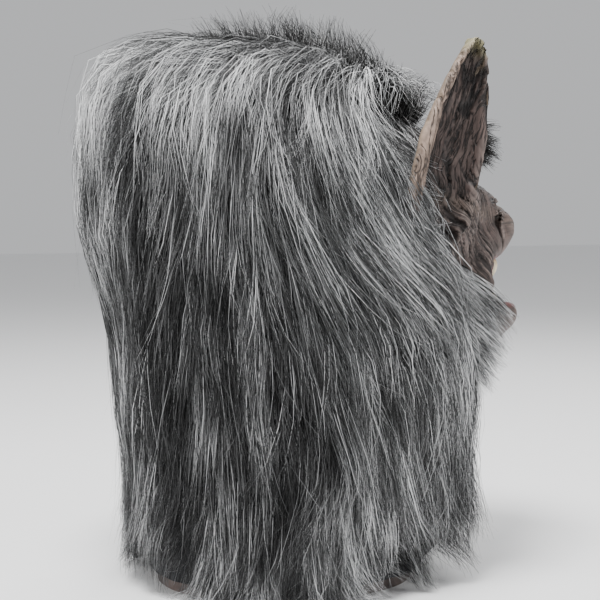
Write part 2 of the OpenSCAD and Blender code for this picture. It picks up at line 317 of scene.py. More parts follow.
class MeshMaker:
    """Makes Blender objects from point and face arrays in millimetres."""

    @staticmethod
    def build(
        name: str,
        points: Array,
        faces: Sequence[Array],
        material: bpy.types.Material,
        colours: Array | None = None,
        uvs: Sequence[Array] | None = None,
        grain: Array | None = None,
    ) -> bpy.types.Object:
        """Return a new mesh object.

        Args:
            name: Name of the piece.
            points: Vertices, (n, 3), in millimetres.
            faces: Arrays of vertex indices, one array for each number of corners.
            material: The finish of the whole piece.
            colours: Linear RGB, or RGB and an amount of grain, kept as the "tone" attribute.
            uvs: Corner coordinates for each face array, kept as the "OFBake" map.
            grain: Coordinates across and along the fine creases, kept as "grain".
        """
        mesh = bpy.data.meshes.new(name)
        faces = [f for f in faces if len(f)]
        sizes = np.concatenate([np.full(len(f), f.shape[1]) for f in faces])
        corners = np.concatenate([f.ravel() for f in faces])
        mesh.vertices.add(len(points))
        mesh.vertices.foreach_set("co", (points * MM).astype(np.float32).ravel())
        mesh.loops.add(len(corners))
        mesh.loops.foreach_set("vertex_index", corners.astype(np.int32))
        mesh.polygons.add(len(sizes))
        starts = np.concatenate([[0], np.cumsum(sizes)[:-1]])
        mesh.polygons.foreach_set("loop_start", starts.astype(np.int32))
        mesh.update(calc_edges=True)
        mesh.validate()
        mesh.polygons.foreach_set("use_smooth", np.ones(len(mesh.polygons), bool))
        if colours is not None:
            tone = mesh.attributes.new("tone", "FLOAT_COLOR", "POINT")
            rgba = np.ones((len(colours), 4))
            rgba[:, : colours.shape[1]] = colours
            tone.data.foreach_set("color", rgba.astype(np.float32).ravel())
        if uvs is not None:
            layer = mesh.uv_layers.new(name="OFBake")
            flat = np.concatenate([u.reshape(-1) for u in uvs])
            layer.data.foreach_set("uv", flat.astype(np.float32))
        if grain is not None:
            store = mesh.attributes.new("grain", "FLOAT_VECTOR", "POINT")
            store.data.foreach_set("vector", grain.astype(np.float32).ravel())
        mesh.materials.append(material)
        piece = bpy.data.objects.new(name, mesh)
        bpy.context.scene.collection.objects.link(piece)
        return piece

    @staticmethod
    def grid_faces(rows: int, cols: int, wrap: bool = False, start: int = 0) -> Array:
        """Return the quads of a grid of rows by cols points, outward when cols run left."""
        r, c = np.meshgrid(np.arange(rows - 1), np.arange(cols - (0 if wrap else 1)), indexing="ij")
        a, b = r * cols + c, r * cols + (c + 1) % cols
        return np.stack([a, b, b + cols, a + cols], axis=-1).reshape(-1, 4) + start


# ---------------------------------------------------------------- finishes


class NodeBench:
    """Short calls for wiring a material's nodes."""

    def __init__(self, name: str) -> None:
        """Start a material with an empty Principled surface.

        Args:
            name: Name of the material.
        """
        self.material = bpy.data.materials.new(name)
        self.material.use_nodes = True
        self.tree = self.material.node_tree
        self.shader = self.tree.nodes["Principled BSDF"]

    def add(self, kind: str, **settings: object) -> bpy.types.Node:
        """Return a new node with its properties and inputs set by name."""
        node = self.tree.nodes.new(kind)
        for key, value in settings.items():
            if hasattr(node, key):
                setattr(node, key, value)
            else:
                node.inputs[key.replace("_", " ")].default_value = value
        return node

    def join(self, source: bpy.types.NodeSocket, target: bpy.types.NodeSocket) -> None:
        """Wire one socket to another."""
        self.tree.links.new(source, target)

    def noise(
        self, scale: float, detail: float = 3.0, stretch: Sequence[float] = (1, 1, 1)
    ) -> bpy.types.Node:
        """Return a noise texture in object space, stretched along the axes."""
        place = self.add("ShaderNodeTexCoord")
        fit = self.add("ShaderNodeMapping")
        fit.inputs["Scale"].default_value = stretch
        cloud = self.add("ShaderNodeTexNoise", Scale=scale, Detail=detail, Roughness=0.6)
        self.join(place.outputs["Object"], fit.inputs["Vector"])
        self.join(fit.outputs["Vector"], cloud.inputs["Vector"])
        return cloud

    def turned(self, socket: bpy.types.NodeSocket) -> bpy.types.NodeSocket:
        """Return 1 less the value of a socket."""
        less = self.add("ShaderNodeMath", operation="SUBTRACT")
        less.inputs[0].default_value = 1.0
        self.join(socket, less.inputs[1])
        return less.outputs["Value"]

    def shade(
        self,
        base: bpy.types.NodeSocket,
        amount: bpy.types.NodeSocket,
        low: float,
        high: float,
        least: float = 0.3,
        most: float = 0.7,
    ) -> bpy.types.NodeSocket:
        """Return base times low to high, as amount goes from least to most.

        Args:
            base: The colour.
            amount: What drives the shading.
            low: Factor at the least amount.
            high: Factor at the most.
            least: Amount that gives low.
            most: Amount that gives high.
        """
        spread = self.add("ShaderNodeMapRange")
        spread.inputs["From Min"].default_value = least
        spread.inputs["From Max"].default_value = most
        spread.inputs["To Min"].default_value = low
        spread.inputs["To Max"].default_value = high
        self.join(amount, spread.inputs["Value"])
        scaled = self.add("ShaderNodeVectorMath", operation="SCALE")
        self.join(base, scaled.inputs[0])
        self.join(spread.outputs["Result"], scaled.inputs["Scale"])
        return scaled.outputs["Vector"]

    def relief(self, heights: Iterable[tuple[bpy.types.NodeSocket, float, float]]) -> None:
        """Wire a chain of bumps into the surface.

        Args:
            heights: For each bump its height socket, its strength and its depth in metres.
        """
        last = None
        for socket, strength, depth in heights:
            bump = self.add("ShaderNodeBump", Strength=strength, Distance=depth)
            self.join(socket, bump.inputs["Height"])
            if last is not None:
                self.join(last, bump.inputs["Normal"])
            last = bump.outputs["Normal"]
        self.join(last, self.shader.inputs["Normal"])


@dataclass(frozen=True)
class LatexFinish:
    """Painted cast latex: the sculptor's colours, mottled, over a fine pored skin."""

    name: str
    roughness: float = 0.55
    specular: float = 0.38
    mottle: tuple[float, float] = (0.72, 1.22)
    creased: bool = False

    def material(self) -> bpy.types.Material:
        """Return the finish."""
        bench = NodeBench(self.name)
        tone = bench.add("ShaderNodeAttribute", attribute_name="tone")
        broad, fine, pores = bench.noise(45, 4), bench.noise(420, 3), bench.noise(1500, 2)
        colour = bench.shade(tone.outputs["Color"], broad.outputs["Fac"], *self.mottle)
        colour = bench.shade(colour, fine.outputs["Fac"], 0.86, 1.12)
        heights = [(fine.outputs["Fac"], 0.45, 0.0006), (pores.outputs["Fac"], 0.3, 0.0002)]
        if self.creased:
            crease = self.creases(bench, tone.outputs["Alpha"])
            colour = bench.shade(colour, crease, 1.0, 0.16, 0.0, 1.0)
            heights.insert(0, (bench.turned(crease), 0.8, 0.0010))
        bench.join(colour, bench.shader.inputs["Base Color"])
        rough = bench.add("ShaderNodeMapRange")
        rough.inputs["To Min"].default_value = self.roughness - 0.1
        rough.inputs["To Max"].default_value = self.roughness + 0.14
        bench.join(fine.outputs["Fac"], rough.inputs["Value"])
        bench.join(rough.outputs["Result"], bench.shader.inputs["Roughness"])
        bench.shader.inputs["Specular IOR Level"].default_value = self.specular
        bench.relief(heights)
        return bench.material

    @staticmethod
    def creases(bench: NodeBench, amount: bpy.types.NodeSocket) -> bpy.types.NodeSocket:
        """Return a mask of fine wavy creases that run along the skin's grain.

        Args:
            bench: The material.
            amount: How strong the creases are.
        """
        grain = bench.add("ShaderNodeAttribute", attribute_name="grain")
        cloud = bench.add("ShaderNodeTexNoise", Scale=1.0, Detail=2.5, Roughness=0.62)
        bench.join(grain.outputs["Vector"], cloud.inputs["Vector"])
        away = bench.add("ShaderNodeMath", operation="SUBTRACT")
        away.inputs[1].default_value = 0.5
        bench.join(cloud.outputs["Fac"], away.inputs[0])
        size = bench.add("ShaderNodeMath", operation="ABSOLUTE")
        bench.join(away.outputs["Value"], size.inputs[0])
        line = bench.add("ShaderNodeMapRange", interpolation_type="SMOOTHSTEP")
        line.inputs["From Min"].default_value = 0.0
        line.inputs["From Max"].default_value = 0.055
        line.inputs["To Min"].default_value = 1.0
        line.inputs["To Max"].default_value = 0.0
        bench.join(size.outputs["Value"], line.inputs["Value"])
        held = bench.add("ShaderNodeMath", operation="MULTIPLY")
        bench.join(line.outputs["Result"], held.inputs[0])
        bench.join(amount, held.inputs[1])
        return held.outputs["Value"]


@dataclass(frozen=True)
class FurFinish:
    """Modacrylic fibre that takes its shade from each strand's own tone."""

    name: str
    roughness: float = 0.42
    specular: float = 0.2

    def material(self) -> bpy.types.Material:
        """Return the finish."""
        bench = NodeBench(self.name)
        tone = bench.add("ShaderNodeAttribute", attribute_name="tone")
        streaks = bench.noise(260, 2, (1, 1, 0.08))
        colour = bench.shade(tone.outputs["Color"], streaks.outputs["Fac"], 0.82, 1.16)
        bench.join(colour, bench.shader.inputs["Base Color"])
        bench.shader.inputs["Roughness"].default_value = self.roughness
        bench.shader.inputs["Specular IOR Level"].default_value = self.specular
        return bench.material


@dataclass(frozen=True)
class KnitFinish:
    """The dark underfur and knit backing beneath the long pile."""

    name: str
    colour: Colour

    def material(self) -> bpy.types.Material:
        """Return the finish."""
        bench = NodeBench(self.name)
        strands = bench.noise(900, 3, (1, 1, 0.06))
        clouds = bench.noise(60, 3, (1, 1, 0.3))
        base = bench.add("ShaderNodeCombineColor")
        for socket, value in zip(base.inputs, self.colour):
            socket.default_value = value
        colour = bench.shade(base.outputs["Color"], strands.outputs["Fac"], 0.35, 1.7)
        colour = bench.shade(colour, clouds.outputs["Fac"], 0.6, 1.4)
        bench.join(colour, bench.shader.inputs["Base Color"])
        bench.shader.inputs["Roughness"].default_value = 0.85
        bench.shader.inputs["Specular IOR Level"].default_value = 0.15
        bench.relief([(strands.outputs["Fac"], 0.9, 0.0018)])
        return bench.material


# ---------------------------------------------------------------- solid shapes as distances


def smooth_min(a: Array, b: Array, k: float) -> Array:
    """Return the lower of two distances, blended over about k."""
    h = np.clip(0.5 + 0.5 * (b - a) / k, 0, 1)
    return b + (a - b) * h - k * h * (1 - h)


def smooth_max(a: Array, b: Array, k: float) -> Array:
    """Return the higher of two distances, blended over about k."""
    return -smooth_min(-a, -b, k)


@dataclass(frozen=True)
class Limb:
    """A rounded cone between two points."""

    start: tuple[float, float, float]
    start_r: float
    end: tuple[float, float, float]
    end_r: float

    def distance(self, x: Array, y: Array, z: Array) -> Array:
        """Return how far points lie outside the limb."""
        a, b = np.array(self.start), np.array(self.end)
        d = b - a
        t = ((x - a[0]) * d[0] + (y - a[1]) * d[1] + (z - a[2]) * d[2]) / (d @ d)
        t = np.clip(t, 0, 1)
        away = (x - a[0] - t * d[0]) ** 2 + (y - a[1] - t * d[1]) ** 2 + (z - a[2] - t * d[2]) ** 2
        return np.sqrt(away) - mix(self.start_r, self.end_r, t)


@dataclass(frozen=True)
class Egg:
    """An ellipsoid, or a squarer one when its power is above 2."""

    centre: tuple[float, float, float]
    radii: tuple[float, float, float]
    power: float = 2.0

    def distance(self, x: Array, y: Array, z: Array) -> Array:
        """Return roughly how far points lie outside the egg."""
        parts = [np.abs(v - c) / r for v, c, r in zip((x, y, z), self.centre, self.radii)]
        k0 = sum(p**self.power for p in parts) ** (1 / self.power)
        return (k0 - 1) * min(self.radii) * mix(1.0, 1.35, np.clip(k0 - 1, 0, 1))


@dataclass(frozen=True)
class EarForm:
    """One upright ear, hollow outwards, in the ear's own axes: qx out, qy back, qz up."""

    root: tuple[float, float, float] = (87.0, -66.5, 254.5)
    height: float = 120.0
    width: float = 50.0
    cup: float = 15.0
    yaw: float = -8.0
    splay: float = 8.0
    lean: float = 12.0

    def axes(self) -> Array:
        """Return the matrix that turns the ear's axes into the head's, for the +X ear."""
        az, ay, ax = (math.radians(v) for v in (self.yaw, self.splay, self.lean))
        rz = np.array([[math.cos(az), -math.sin(az), 0], [math.sin(az), math.cos(az), 0], [0, 0, 1]])
        ry = np.array([[math.cos(ay), 0, math.sin(ay)], [0, 1, 0], [-math.sin(ay), 0, math.cos(ay)]])
        rx = np.array([[1, 0, 0], [0, math.cos(ax), -math.sin(ax)], [0, math.sin(ax), math.cos(ax)]])
        return rz @ ry @ rx

    def local(self, x: Array, y: Array, z: Array) -> tuple[Array, Array, Array]:
        """Return points of the +X side in the ear's own axes."""
        turn = self.axes()
        d = (x - self.root[0], y - self.root[1], z - self.root[2])
        return tuple(sum(turn[i, k] * d[i] for i in range(3)) for k in range(3))

    def half(self, s: Array) -> Array:
        """Return half the ear's width at a share s of its height."""
        s = np.clip(s, 0, 1)
        return 0.64 * self.width * (1 - s) ** 0.78 * (0.75 + 0.9 * s)

    def distance(self, x: Array, y: Array, z: Array) -> Array:
        """Return how far points of the +X side lie outside the ear.

        Args:
            x: Coordinates along X.
            y: Coordinates along Y.
            z: Heights.
        """
        qx, qy, qz = self.local(x, y, z)
        s = qz / self.height
        held = np.clip(s, 0, 1)
        half = np.maximum(self.half(s), 0.6)
        rise = mix(1.0, 0.55, held)
        sunk = 0.55 * np.minimum(qz, 0)
        across = np.clip(qy / half, -1.15, 1.15)
        surface = self.cup * across**2 * rise + sunk
        thick = mix(6.0, 5.0, held)
        wall = np.abs(qx - surface + 0.5 * thick) * 0.8 - 0.5 * thick
        side = (np.abs(qy) - half) * 0.9
        above = qz - 0.985 * self.height
        below = -qz - 26
        sheet = np.maximum(np.maximum(wall, side), np.maximum(above, below))
        edge_x = self.cup * rise + sunk
        rear = np.hypot(qx - edge_x + 2, qy - half + 1) * 0.85 - mix(5.6, 1.9, ramp(s, 0.1, 1.0))
        front = np.hypot(qx - edge_x + 2, qy + half - 1) * 0.85 - mix(3.2, 1.7, ramp(s, 0.1, 1.0))
        rims = np.maximum(np.minimum(rear, front), np.maximum(above, below))
        return smooth_min(sheet, rims, 3.5)


class SurfaceNet:
    """Turns distances on a grid into a mesh of quads."""

    def __init__(self, step: float, low: Sequence[float], high: Sequence[float]) -> None:
        """Lay out the grid.

        Args:
            step: Grid spacing.
            low: Lowest corner.
            high: Highest corner.
        """
        self.step = step
        self.low = np.array(low, float)
        self.counts = np.ceil((np.array(high) - self.low) / step).astype(int) + 1

    def axes(self) -> list[Array]:
        """Return the grid's coordinates along each axis, shaped to be broadcast together."""
        lines = [self.low[k] + self.step * np.arange(self.counts[k]) for k in range(3)]
        x, y, z = (line.astype(np.float32) for line in lines)
        return [x[:, None, None], y[None, :, None], z[None, None, :]]

    def mesh(self, field: Array) -> tuple[Array, Array]:
        """Return the vertices and outward quads of the surface where field is 0.

        Args:
            field: Distances at the grid points, below 0 inside.
        """
        inside = field < 0
        total = np.zeros(tuple(n - 1 for n in field.shape), np.int8)
        for dx, dy, dz in np.ndindex(2, 2, 2):
            total += inside[
                dx : dx + total.shape[0], dy : dy + total.shape[1], dz : dz + total.shape[2]
            ]
        cells = np.argwhere((total > 0) & (total < 8))
        index = np.full(total.shape, -1, np.int64)
        index[tuple(cells.T)] = np.arange(len(cells))
        spot = np.zeros((len(cells), 3))
        hits = np.zeros(len(cells))
        for axis in range(3):
            others = [k for k in range(3) if k != axis]
            for one, two in np.ndindex(2, 2):
                start = np.zeros(3, int)
                start[others[0]], start[others[1]] = one, two
                a = cells + start
                b = a.copy()
                b[:, axis] += 1
                fa, fb = field[tuple(a.T)], field[tuple(b.T)]
                cross = (fa < 0) != (fb < 0)
                share = np.where(cross, fa / np.where(cross, fa - fb, 1), 0)
                place = np.tile(start.astype(float), (len(cells), 1))
                place[:, axis] += share
                spot += place * cross[:, None]
                hits += cross
        points = self.low + self.step * (cells + spot / hits[:, None])
        quads = []
        for axis in range(3):
            b, c = [(1, 2), (2, 0), (0, 1)][axis]
            ahead = [slice(None)] * 3
            ahead[axis] = slice(1, None)
            behind = [slice(None)] * 3
            behind[axis] = slice(None, -1)
            cross = inside[tuple(behind)] != inside[tuple(ahead)]
            edges = np.argwhere(cross)
            fits = np.ones(len(edges), bool)
            for k in (b, c):
                fits &= (edges[:, k] > 0) & (edges[:, k] < field.shape[k] - 1)
            edges = edges[fits]
            ring = []
            for db, dc in ((-1, -1), (0, -1), (0, 0), (-1, 0)):
                cell = edges.copy()
                cell[:, b] += db
                cell[:, c] += dc
                ring.append(index[tuple(cell.T)])
            quad = np.stack(ring, axis=1)
            outward = inside[tuple(edges.T)]
            quads.append(np.where(outward[:, None], quad, quad[:, ::-1]))
        return points, np.concatenate(quads)


class SkinMesh:
    """A mesh of quads or triangles with the sums that a sculptor needs."""

    def __init__(self, points: Array, faces: Array) -> None:
        """Keep the mesh.

        Args:
            points: Vertices, (n, 3).
            faces: Vertex indices, (m, 3) or (m, 4).
        """
        self.points = points
        self.faces = faces
        self.depth = np.zeros(len(points))

    def keep(self, kept: Array) -> None:
        """Drop the faces that aren't kept, and then the vertices that no face uses."""
        self.faces = self.faces[kept]
        used, flat = np.unique(self.faces, return_inverse=True)
        self.points, self.depth = self.points[used], self.depth[used]
        self.faces = flat.reshape(self.faces.shape)

    def middles(self) -> Array:
        """Return the centre of each face."""
        return self.points[self.faces].mean(axis=1)

    def normals(self) -> Array:
        """Return a unit normal at each vertex."""
        p = self.points[self.faces]
        across = p[:, 2] - p[:, 0]
        other = (p[:, 3] - p[:, 1]) if self.faces.shape[1] == 4 else (p[:, 2] - p[:, 1])
        face_n = np.cross(across, other) if self.faces.shape[1] == 4 else np.cross(
            p[:, 1] - p[:, 0], across
        )
        total = np.zeros_like(self.points)
        for k in range(self.faces.shape[1]):
            for axis in range(3):
                total[:, axis] += np.bincount(
                    self.faces[:, k], face_n[:, axis], minlength=len(self.points)
                )
        return unit(total)

    def spread(self, values: Array, rounds: int) -> Array:
        """Return vertex values averaged with their neighbours a number of times.

        Args:
            values: A value or vector for each vertex.
            rounds: How many times it is evened out.
        """
        sides = self.faces.shape[1]
        a = np.concatenate([self.faces[:, k] for k in range(sides)])
        b = np.concatenate([self.faces[:, (k + 1) % sides] for k in range(sides)])
        a, b = np.concatenate([a, b]), np.concatenate([b, a])
        count = np.bincount(a, minlength=len(self.points))
        columns = values.reshape(len(values), -1)
        for _ in range(rounds):
            near = np.stack(
                [np.bincount(a, col[b], minlength=len(columns)) for col in columns.T], axis=1
            )
            columns = 0.5 * columns + 0.5 * near / np.maximum(count, 1)[:, None]
        return columns.reshape(values.shape)

    def hollows(self, rounds: int) -> Array:
        """Return how far each vertex lies below its surroundings, in millimetres."""
        return np.sum((self.spread(self.points, rounds) - self.points) * self.normals(), axis=1)

    def open_edges(self) -> Array:
        """Return the directed edges that only one face uses."""
        sides = self.faces.shape[1]
        a = np.concatenate([self.faces[:, k] for k in range(sides)])
        b = np.concatenate([self.faces[:, (k + 1) % sides] for k in range(sides)])
        n = len(self.points)
        forward, backward = a * n + b, b * n + a
        return np.stack([a, b], axis=1)[~np.isin(forward, backward)]


@dataclass(frozen=True)
class FaceForm:
    """The snarling face modelled on the head, as unions and cuts of simple solids."""

    head: HeadForm
    ear: EarForm = EarForm()
    lumps: tuple[tuple[Limb | Egg, float], ...] = (
        (Limb((20, -105, 262), 38, (12, -150, 250), 22), 16),
        (Limb((38, -100, 235), 26, (40, -132, 220), 15), 12),
        (Limb((30, -132, 226), 17, (13, -165, 234), 13), 9),
        (Limb((14, -112, 268), 26, (8, -156, 247), 13), 8),
        (Egg((0, -171, 248), (15, 14, 14)), 4),
        (Egg((14, -170, 242), (11, 14, 15)), 3),
        (Limb((14, -124, 303), 9, (48, -111, 312), 9), 15),
        (Limb((52, -105, 256), 17, (73, -70, 262), 13), 20),
        (Limb((45, -112, 208), 15, (45, -132, 204), 12), 9),
    )
    jaw_lumps: tuple[tuple[Limb | Egg, float], ...] = (
        (Limb((41, -112, 184), 13, (42, -138, 188), 10), 8),
        (Limb((40, -138, 186), 9.5, (21, -171, 179), 9), 5),
        (Limb((21, -171, 179), 9, (0, -178, 179), 9.5), 4),
        (Egg((0, -157, 168), (26, 23, 14)), 7),
        (Egg((0, -120, 172), (44, 48, 18)), 8),
    )
    cuts: tuple[tuple[Limb | Egg, float], ...] = (
        (Egg((36, -140, 284), (15, 13, 11)), 7),
        (Egg((13.5, -184, 238), (6.0, 9, 7)), 2),
        (Limb((19, -168, 264), 2.6, (28, -158, 248), 3.8), 2.5),
        (Limb((28, -158, 248), 3.8, (25, -163, 230), 3.2), 2.5),
        (Limb((0, -187, 236), 1.2, (0, -180, 222), 1.4), 2),
        (Egg((0, -148, 203), (42, 50, 17), 2.8), 4),
        (Egg((0, -110, 203), (36, 44, 17), 2.8), 4),
    )

    def distance(self, x: Array, y: Array, z: Array) -> Array:
        """Return how far points lie outside the mask."""
        side = np.sqrt(x * x + 16.0)
        body = self.head.distance(x, y, z)
        for lump, k in self.lumps + self.jaw_lumps:
            body = smooth_min(body, lump.distance(side, y, z), k)
        body = smooth_min(body, self.ear.distance(np.abs(x), y, z), 12)
        for cut, k in self.cuts:
            body = smooth_max(body, -cut.distance(side, y, z), k)
        return smooth_min(body, Egg((36, -110, 284), (17, 17, 15)).distance(side, y, z), 4)


@dataclass(frozen=True)
class EyeCut:
    """The almond hole that the wearer looks through."""

    centre: tuple[float, float] = (36.0, 283.0)
    half_w: float = 11.5
    half_h: float = 6.2
    tilt: float = 14.0

    def local(self, p: Array) -> tuple[Array, Array]:
        """Return points in the hole's own axes, as shares of its half sizes."""
        turn = math.radians(self.tilt)
        u, w = np.abs(p[:, 0]) - self.centre[0], p[:, 2] - self.centre[1]
        a = (u * math.cos(turn) + w * math.sin(turn)) / self.half_w
        b = (w * math.cos(turn) - u * math.sin(turn)) / self.half_h
        return a, b

    def depth(self, p: Array) -> Array:
        """Return how far inside the hole points lie: 1 on its edge, less inside."""
        a, b = self.local(p)
        inside = np.hypot(a, b * (1 + 0.35 * np.abs(a)))
        return np.where(p[:, 1] < -60, inside, 9.0)


class LatexSculpt:
    """Models the latex casting and splits it where its joints bend."""

    WALL = 2.2
    MOUTH_BACK = -112.0
    MOUTH_CORNER = np.array([0.0, -143.0, 203.0])
    JAW_AXIS = np.array([0.0, -0.885, -0.466])
    CHEEK_STRETCH = 38.0
    EAR_BEND = (6.0, 42.0)

    def __init__(self, head: HeadForm, seed: int = 11) -> None:
        """Keep the form to be sculpted.

        Args:
            head: The plain head.
            seed: Picks the wrinkles.
        """
        self.form = FaceForm(head)
        self.eye = EyeCut()
        self.coarse, self.fine = Noise(seed), Noise(seed + 1)

    def wrinkle(self, p: Array) -> Array:
        """Return how deep the modelled folds and grooves are at points, in millimetres.

        Args:
            p: Points, (n, 3).
        """
        x, y, z = p.T
        side = np.abs(x)
        fall = (270 - z) / 12
        bend = 12 * np.where(fall > 30, fall, np.log1p(np.exp(np.minimum(fall, 30))))
        across = y + 0.9 * bend + 0.3 * side
        warp = 5 * self.coarse.at(x / 40, y / 40, z / 40)
        line = (across + warp) / 5.2
        along = (z - 0.4 * y) / 42
        fold = 1 - np.abs(self.coarse.at(line, along, side / 60))
        small = 1 - np.abs(self.fine.at(line * 1.9, along * 1.6, side / 30))
        cheek = ramp(side, 24, 48) * ramp(z, 165, 200) * (1 - ramp(y, -62, -35))
        cheek = cheek * (1 - 0.65 * bell(z, 304, 26))
        depth = cheek * (1.9 * ramp(fold, 0.72, 1.0) + 0.8 * ramp(small, 0.7, 1.0))
        ridge = (z + 0.35 * side + 3 * self.coarse.at(x / 30, y / 30, 7.5)) / 6.4
        snarl = 1 - np.abs(self.fine.at(ridge, x / 34, 3.5))
        bridge = (1 - ramp(side, 22, 38)) * bell(z, 276, 40) * (1 - ramp(y, -118, -104))
        depth = depth + bridge * 1.7 * ramp(snarl, 0.68, 1.0)
        brow = (z - 0.12 * side + 5 * self.coarse.at(x / 34, 1.5, z / 34)) / 7.5
        furrow = 1 - np.abs(self.coarse.at(brow, x / 48, 9.5))
        forehead = ramp(z, 308, 322) * (1 - ramp(side, 60, 82)) * (1 - ramp(y, -50, -20))
        return depth + forehead * 1.4 * ramp(furrow, 0.7, 1.0)

    def grain(self, p: Array, n: Array) -> tuple[Array, Array]:
        """Return coordinates across and along the fine creases, and how strong they are.

        Args:
            p: Points on the skin.
            n: Their normals.
        """
        x, y, z = p.T
        side = np.abs(x)
        fall = (270 - z) / 12
        bend = 12 * np.where(fall > 30, fall, np.log1p(np.exp(np.minimum(fall, 30))))
        ear = self.form.ear
        _, qy, qz = ear.local(side, y, z)
        on_ear = ramp(qz / ear.height, -0.12, 0.2)
        across = mix(y + 0.9 * bend + 0.3 * side, qy - 40.4, on_ear)
        along = mix(z - 0.4 * y, qz + 280, on_ear)
        snout = side < 29
        across = np.where(snout, 1.2 * (z + 0.35 * side), across)
        along = np.where(snout, x, along)
        warp = 2.2 * self.coarse.at(x / 15, y / 15, z / 15)
        coords = np.stack([(across + warp) / 3.1, along / 26, 0.2 * snout], axis=-1)
        cheek = ramp(side, 30, 38) * ramp(z, 160, 190) * (1 - ramp(y, -50, -20)) * (1 - on_ear)
        bridge = (1 - ramp(side, 20, 28)) * bell(z, 280, 45) * (1 - ramp(y, -118, -100))
        facing = self.facing_out(p, n)
        strength = 0.85 * cheek + 0.6 * bridge + on_ear * ramp(facing, 0.0, 0.4)
        return coords, np.clip(strength, 0, 1)

    def facing_out(self, p: Array, n: Array) -> Array:
        """Return how squarely the skin faces the open side of the nearer ear, from -1 to 1."""
        out = self.form.ear.axes()[:, 0]
        return n[:, 0] * np.sign(p[:, 0]) * out[0] + n[:, 1] * out[1] + n[:, 2] * out[2]

    def ear_groove(self, p: Array, n: Array) -> Array:
        """Return how deep the grooves down the hollow of the ears are, in millimetres.

        Args:
            p: Points, (n, 3).
            n: Their normals.
        """
        ear = self.form.ear
        _, qy, qz = ear.local(np.abs(p[:, 0]), p[:, 1], p[:, 2])
        s = qz / ear.height
        half = np.maximum(ear.half(s), 3)
        share = np.clip(qy / half, -1.2, 1.2)
        hollow = ramp(self.facing_out(p, n), 0.1, 0.4)
        weave = qy / 5.6 + 0.35 * np.sin(s * 8) + 0.5 * self.coarse.at(s * 3, np.sign(p[:, 0]))
        line = 1 - np.abs(self.fine.at(weave, s * 1.8, np.sign(p[:, 0])))
        inside = hollow * (1 - ramp(share, 0.45, 0.7)) * (1 - ramp(-share, 0.7, 0.9))
        inside = inside * ramp(s, -0.2, 0.05) * (1 - ramp(s, 0.8, 0.97))
        return inside * 1.5 * ramp(line, 0.55, 0.97)

    def pores(self, p: Array) -> Array:
        """Return a small lumpiness of the whole skin, in millimetres."""
        return 0.35 * self.fine.at(*(p.T / 7)) + 0.9 * self.coarse.at(*(p.T / 26))

    def cast(self, step: float) -> SkinMesh:
        """Return the outer skin, cut open at the neck, eyes and mouth, with its fine relief.

        Args:
            step: Grid spacing.
        """
        net = SurfaceNet(step, (-119, -198, -2.5), (119, 112, 388))
        skin = SkinMesh(*net.mesh(self.form.distance(*net.axes()).astype(np.float32)))
        skin.points = skin.spread(skin.points, 1)
        open_face = 1 - bell(self.eye.depth(skin.points), 1.0, 0.5)
        grooves = self.ear_groove(skin.points, skin.normals())
        skin.depth = (self.wrinkle(skin.points) + grooves) * open_face
        _, _, qz = self.form.ear.local(np.abs(skin.points[:, 0]), *skin.points.T[1:])
        even = ramp(skin.points[:, 2], 10, 60) * (1 - ramp(qz, 60, 100))
        lift = self.pores(skin.points) * even - skin.depth
        skin.points = skin.points + skin.normals() * lift[:, None]
        return skin

    def opened(self, skin: SkinMesh) -> SkinMesh:
        """Return the skin with its openings cut and their edges drawn clean.

        Args:
            skin: The skin to work on.
        """
        p = skin.points[skin.faces]
        x, y, z = skin.middles().T
        sunk = (p[:, :, 2] < 0).all(axis=1)
        eye = self.eye.depth(skin.middles()) < 1
        lining = (np.abs(x) < 46) & (y > self.MOUTH_BACK) & (z > 183) & (z < 223) & (y < -60)
        skin.keep(~(sunk | eye | lining))
        rim = np.unique(skin.open_edges())
        spots = skin.points[rim]
        near_eye = self.eye.depth(spots) < 1.6
        a, b = self.eye.local(spots)
        size = np.maximum(self.eye.depth(spots), 0.2)
        turn = math.radians(self.eye.tilt)
        da = (a / size - a) * self.eye.half_w
        db = (b / size - b) * self.eye.half_h
        side = np.sign(spots[:, 0])
        moved = spots.copy()
        moved[:, 0] += side * (da * math.cos(turn) - db * math.sin(turn))
        moved[:, 2] += da * math.sin(turn) + db * math.cos(turn)
        skin.points[rim[near_eye]] = moved[near_eye]
        skin.points[:, 2] = np.maximum(skin.points[:, 2], 0)
        return skin

    def thinned(self, skin: SkinMesh, ratio: float) -> SkinMesh:
        """Return the skin with fewer triangles where it is smooth.

        Args:
            skin: The full skin.
            ratio: Share of its triangles that are kept.
        """
        mesh = bpy.data.meshes.new("thinned")
        quads = skin.faces
        mesh.from_pydata(skin.points.tolist(), [], quads.tolist())
        store = mesh.attributes.new("depth", "FLOAT", "POINT")
        store.data.foreach_set("value", skin.depth.astype(np.float32))
        worker = bpy.data.objects.new("thinned", mesh)
        bpy.context.scene.collection.objects.link(worker)
        worker.modifiers.new("thin", "DECIMATE").ratio = ratio
        graph = bpy.context.evaluated_depsgraph_get()
        result = worker.evaluated_get(graph).to_mesh()
        count = len(result.vertices)
        points = np.empty(count * 3)
        result.vertices.foreach_get("co", points)
        depth = np.empty(count)
        result.attributes["depth"].data.foreach_get("value", depth)
        result.calc_loop_triangles()
        tris = np.empty(len(result.loop_triangles) * 3, int)
        result.loop_triangles.foreach_get("vertices", tris)
        worker.evaluated_get(graph).to_mesh_clear()
        bpy.data.objects.remove(worker)
        bpy.data.meshes.remove(mesh)
        fewer = SkinMesh(points.reshape(-1, 3), tris.reshape(-1, 3))
        fewer.depth = depth
        return fewer

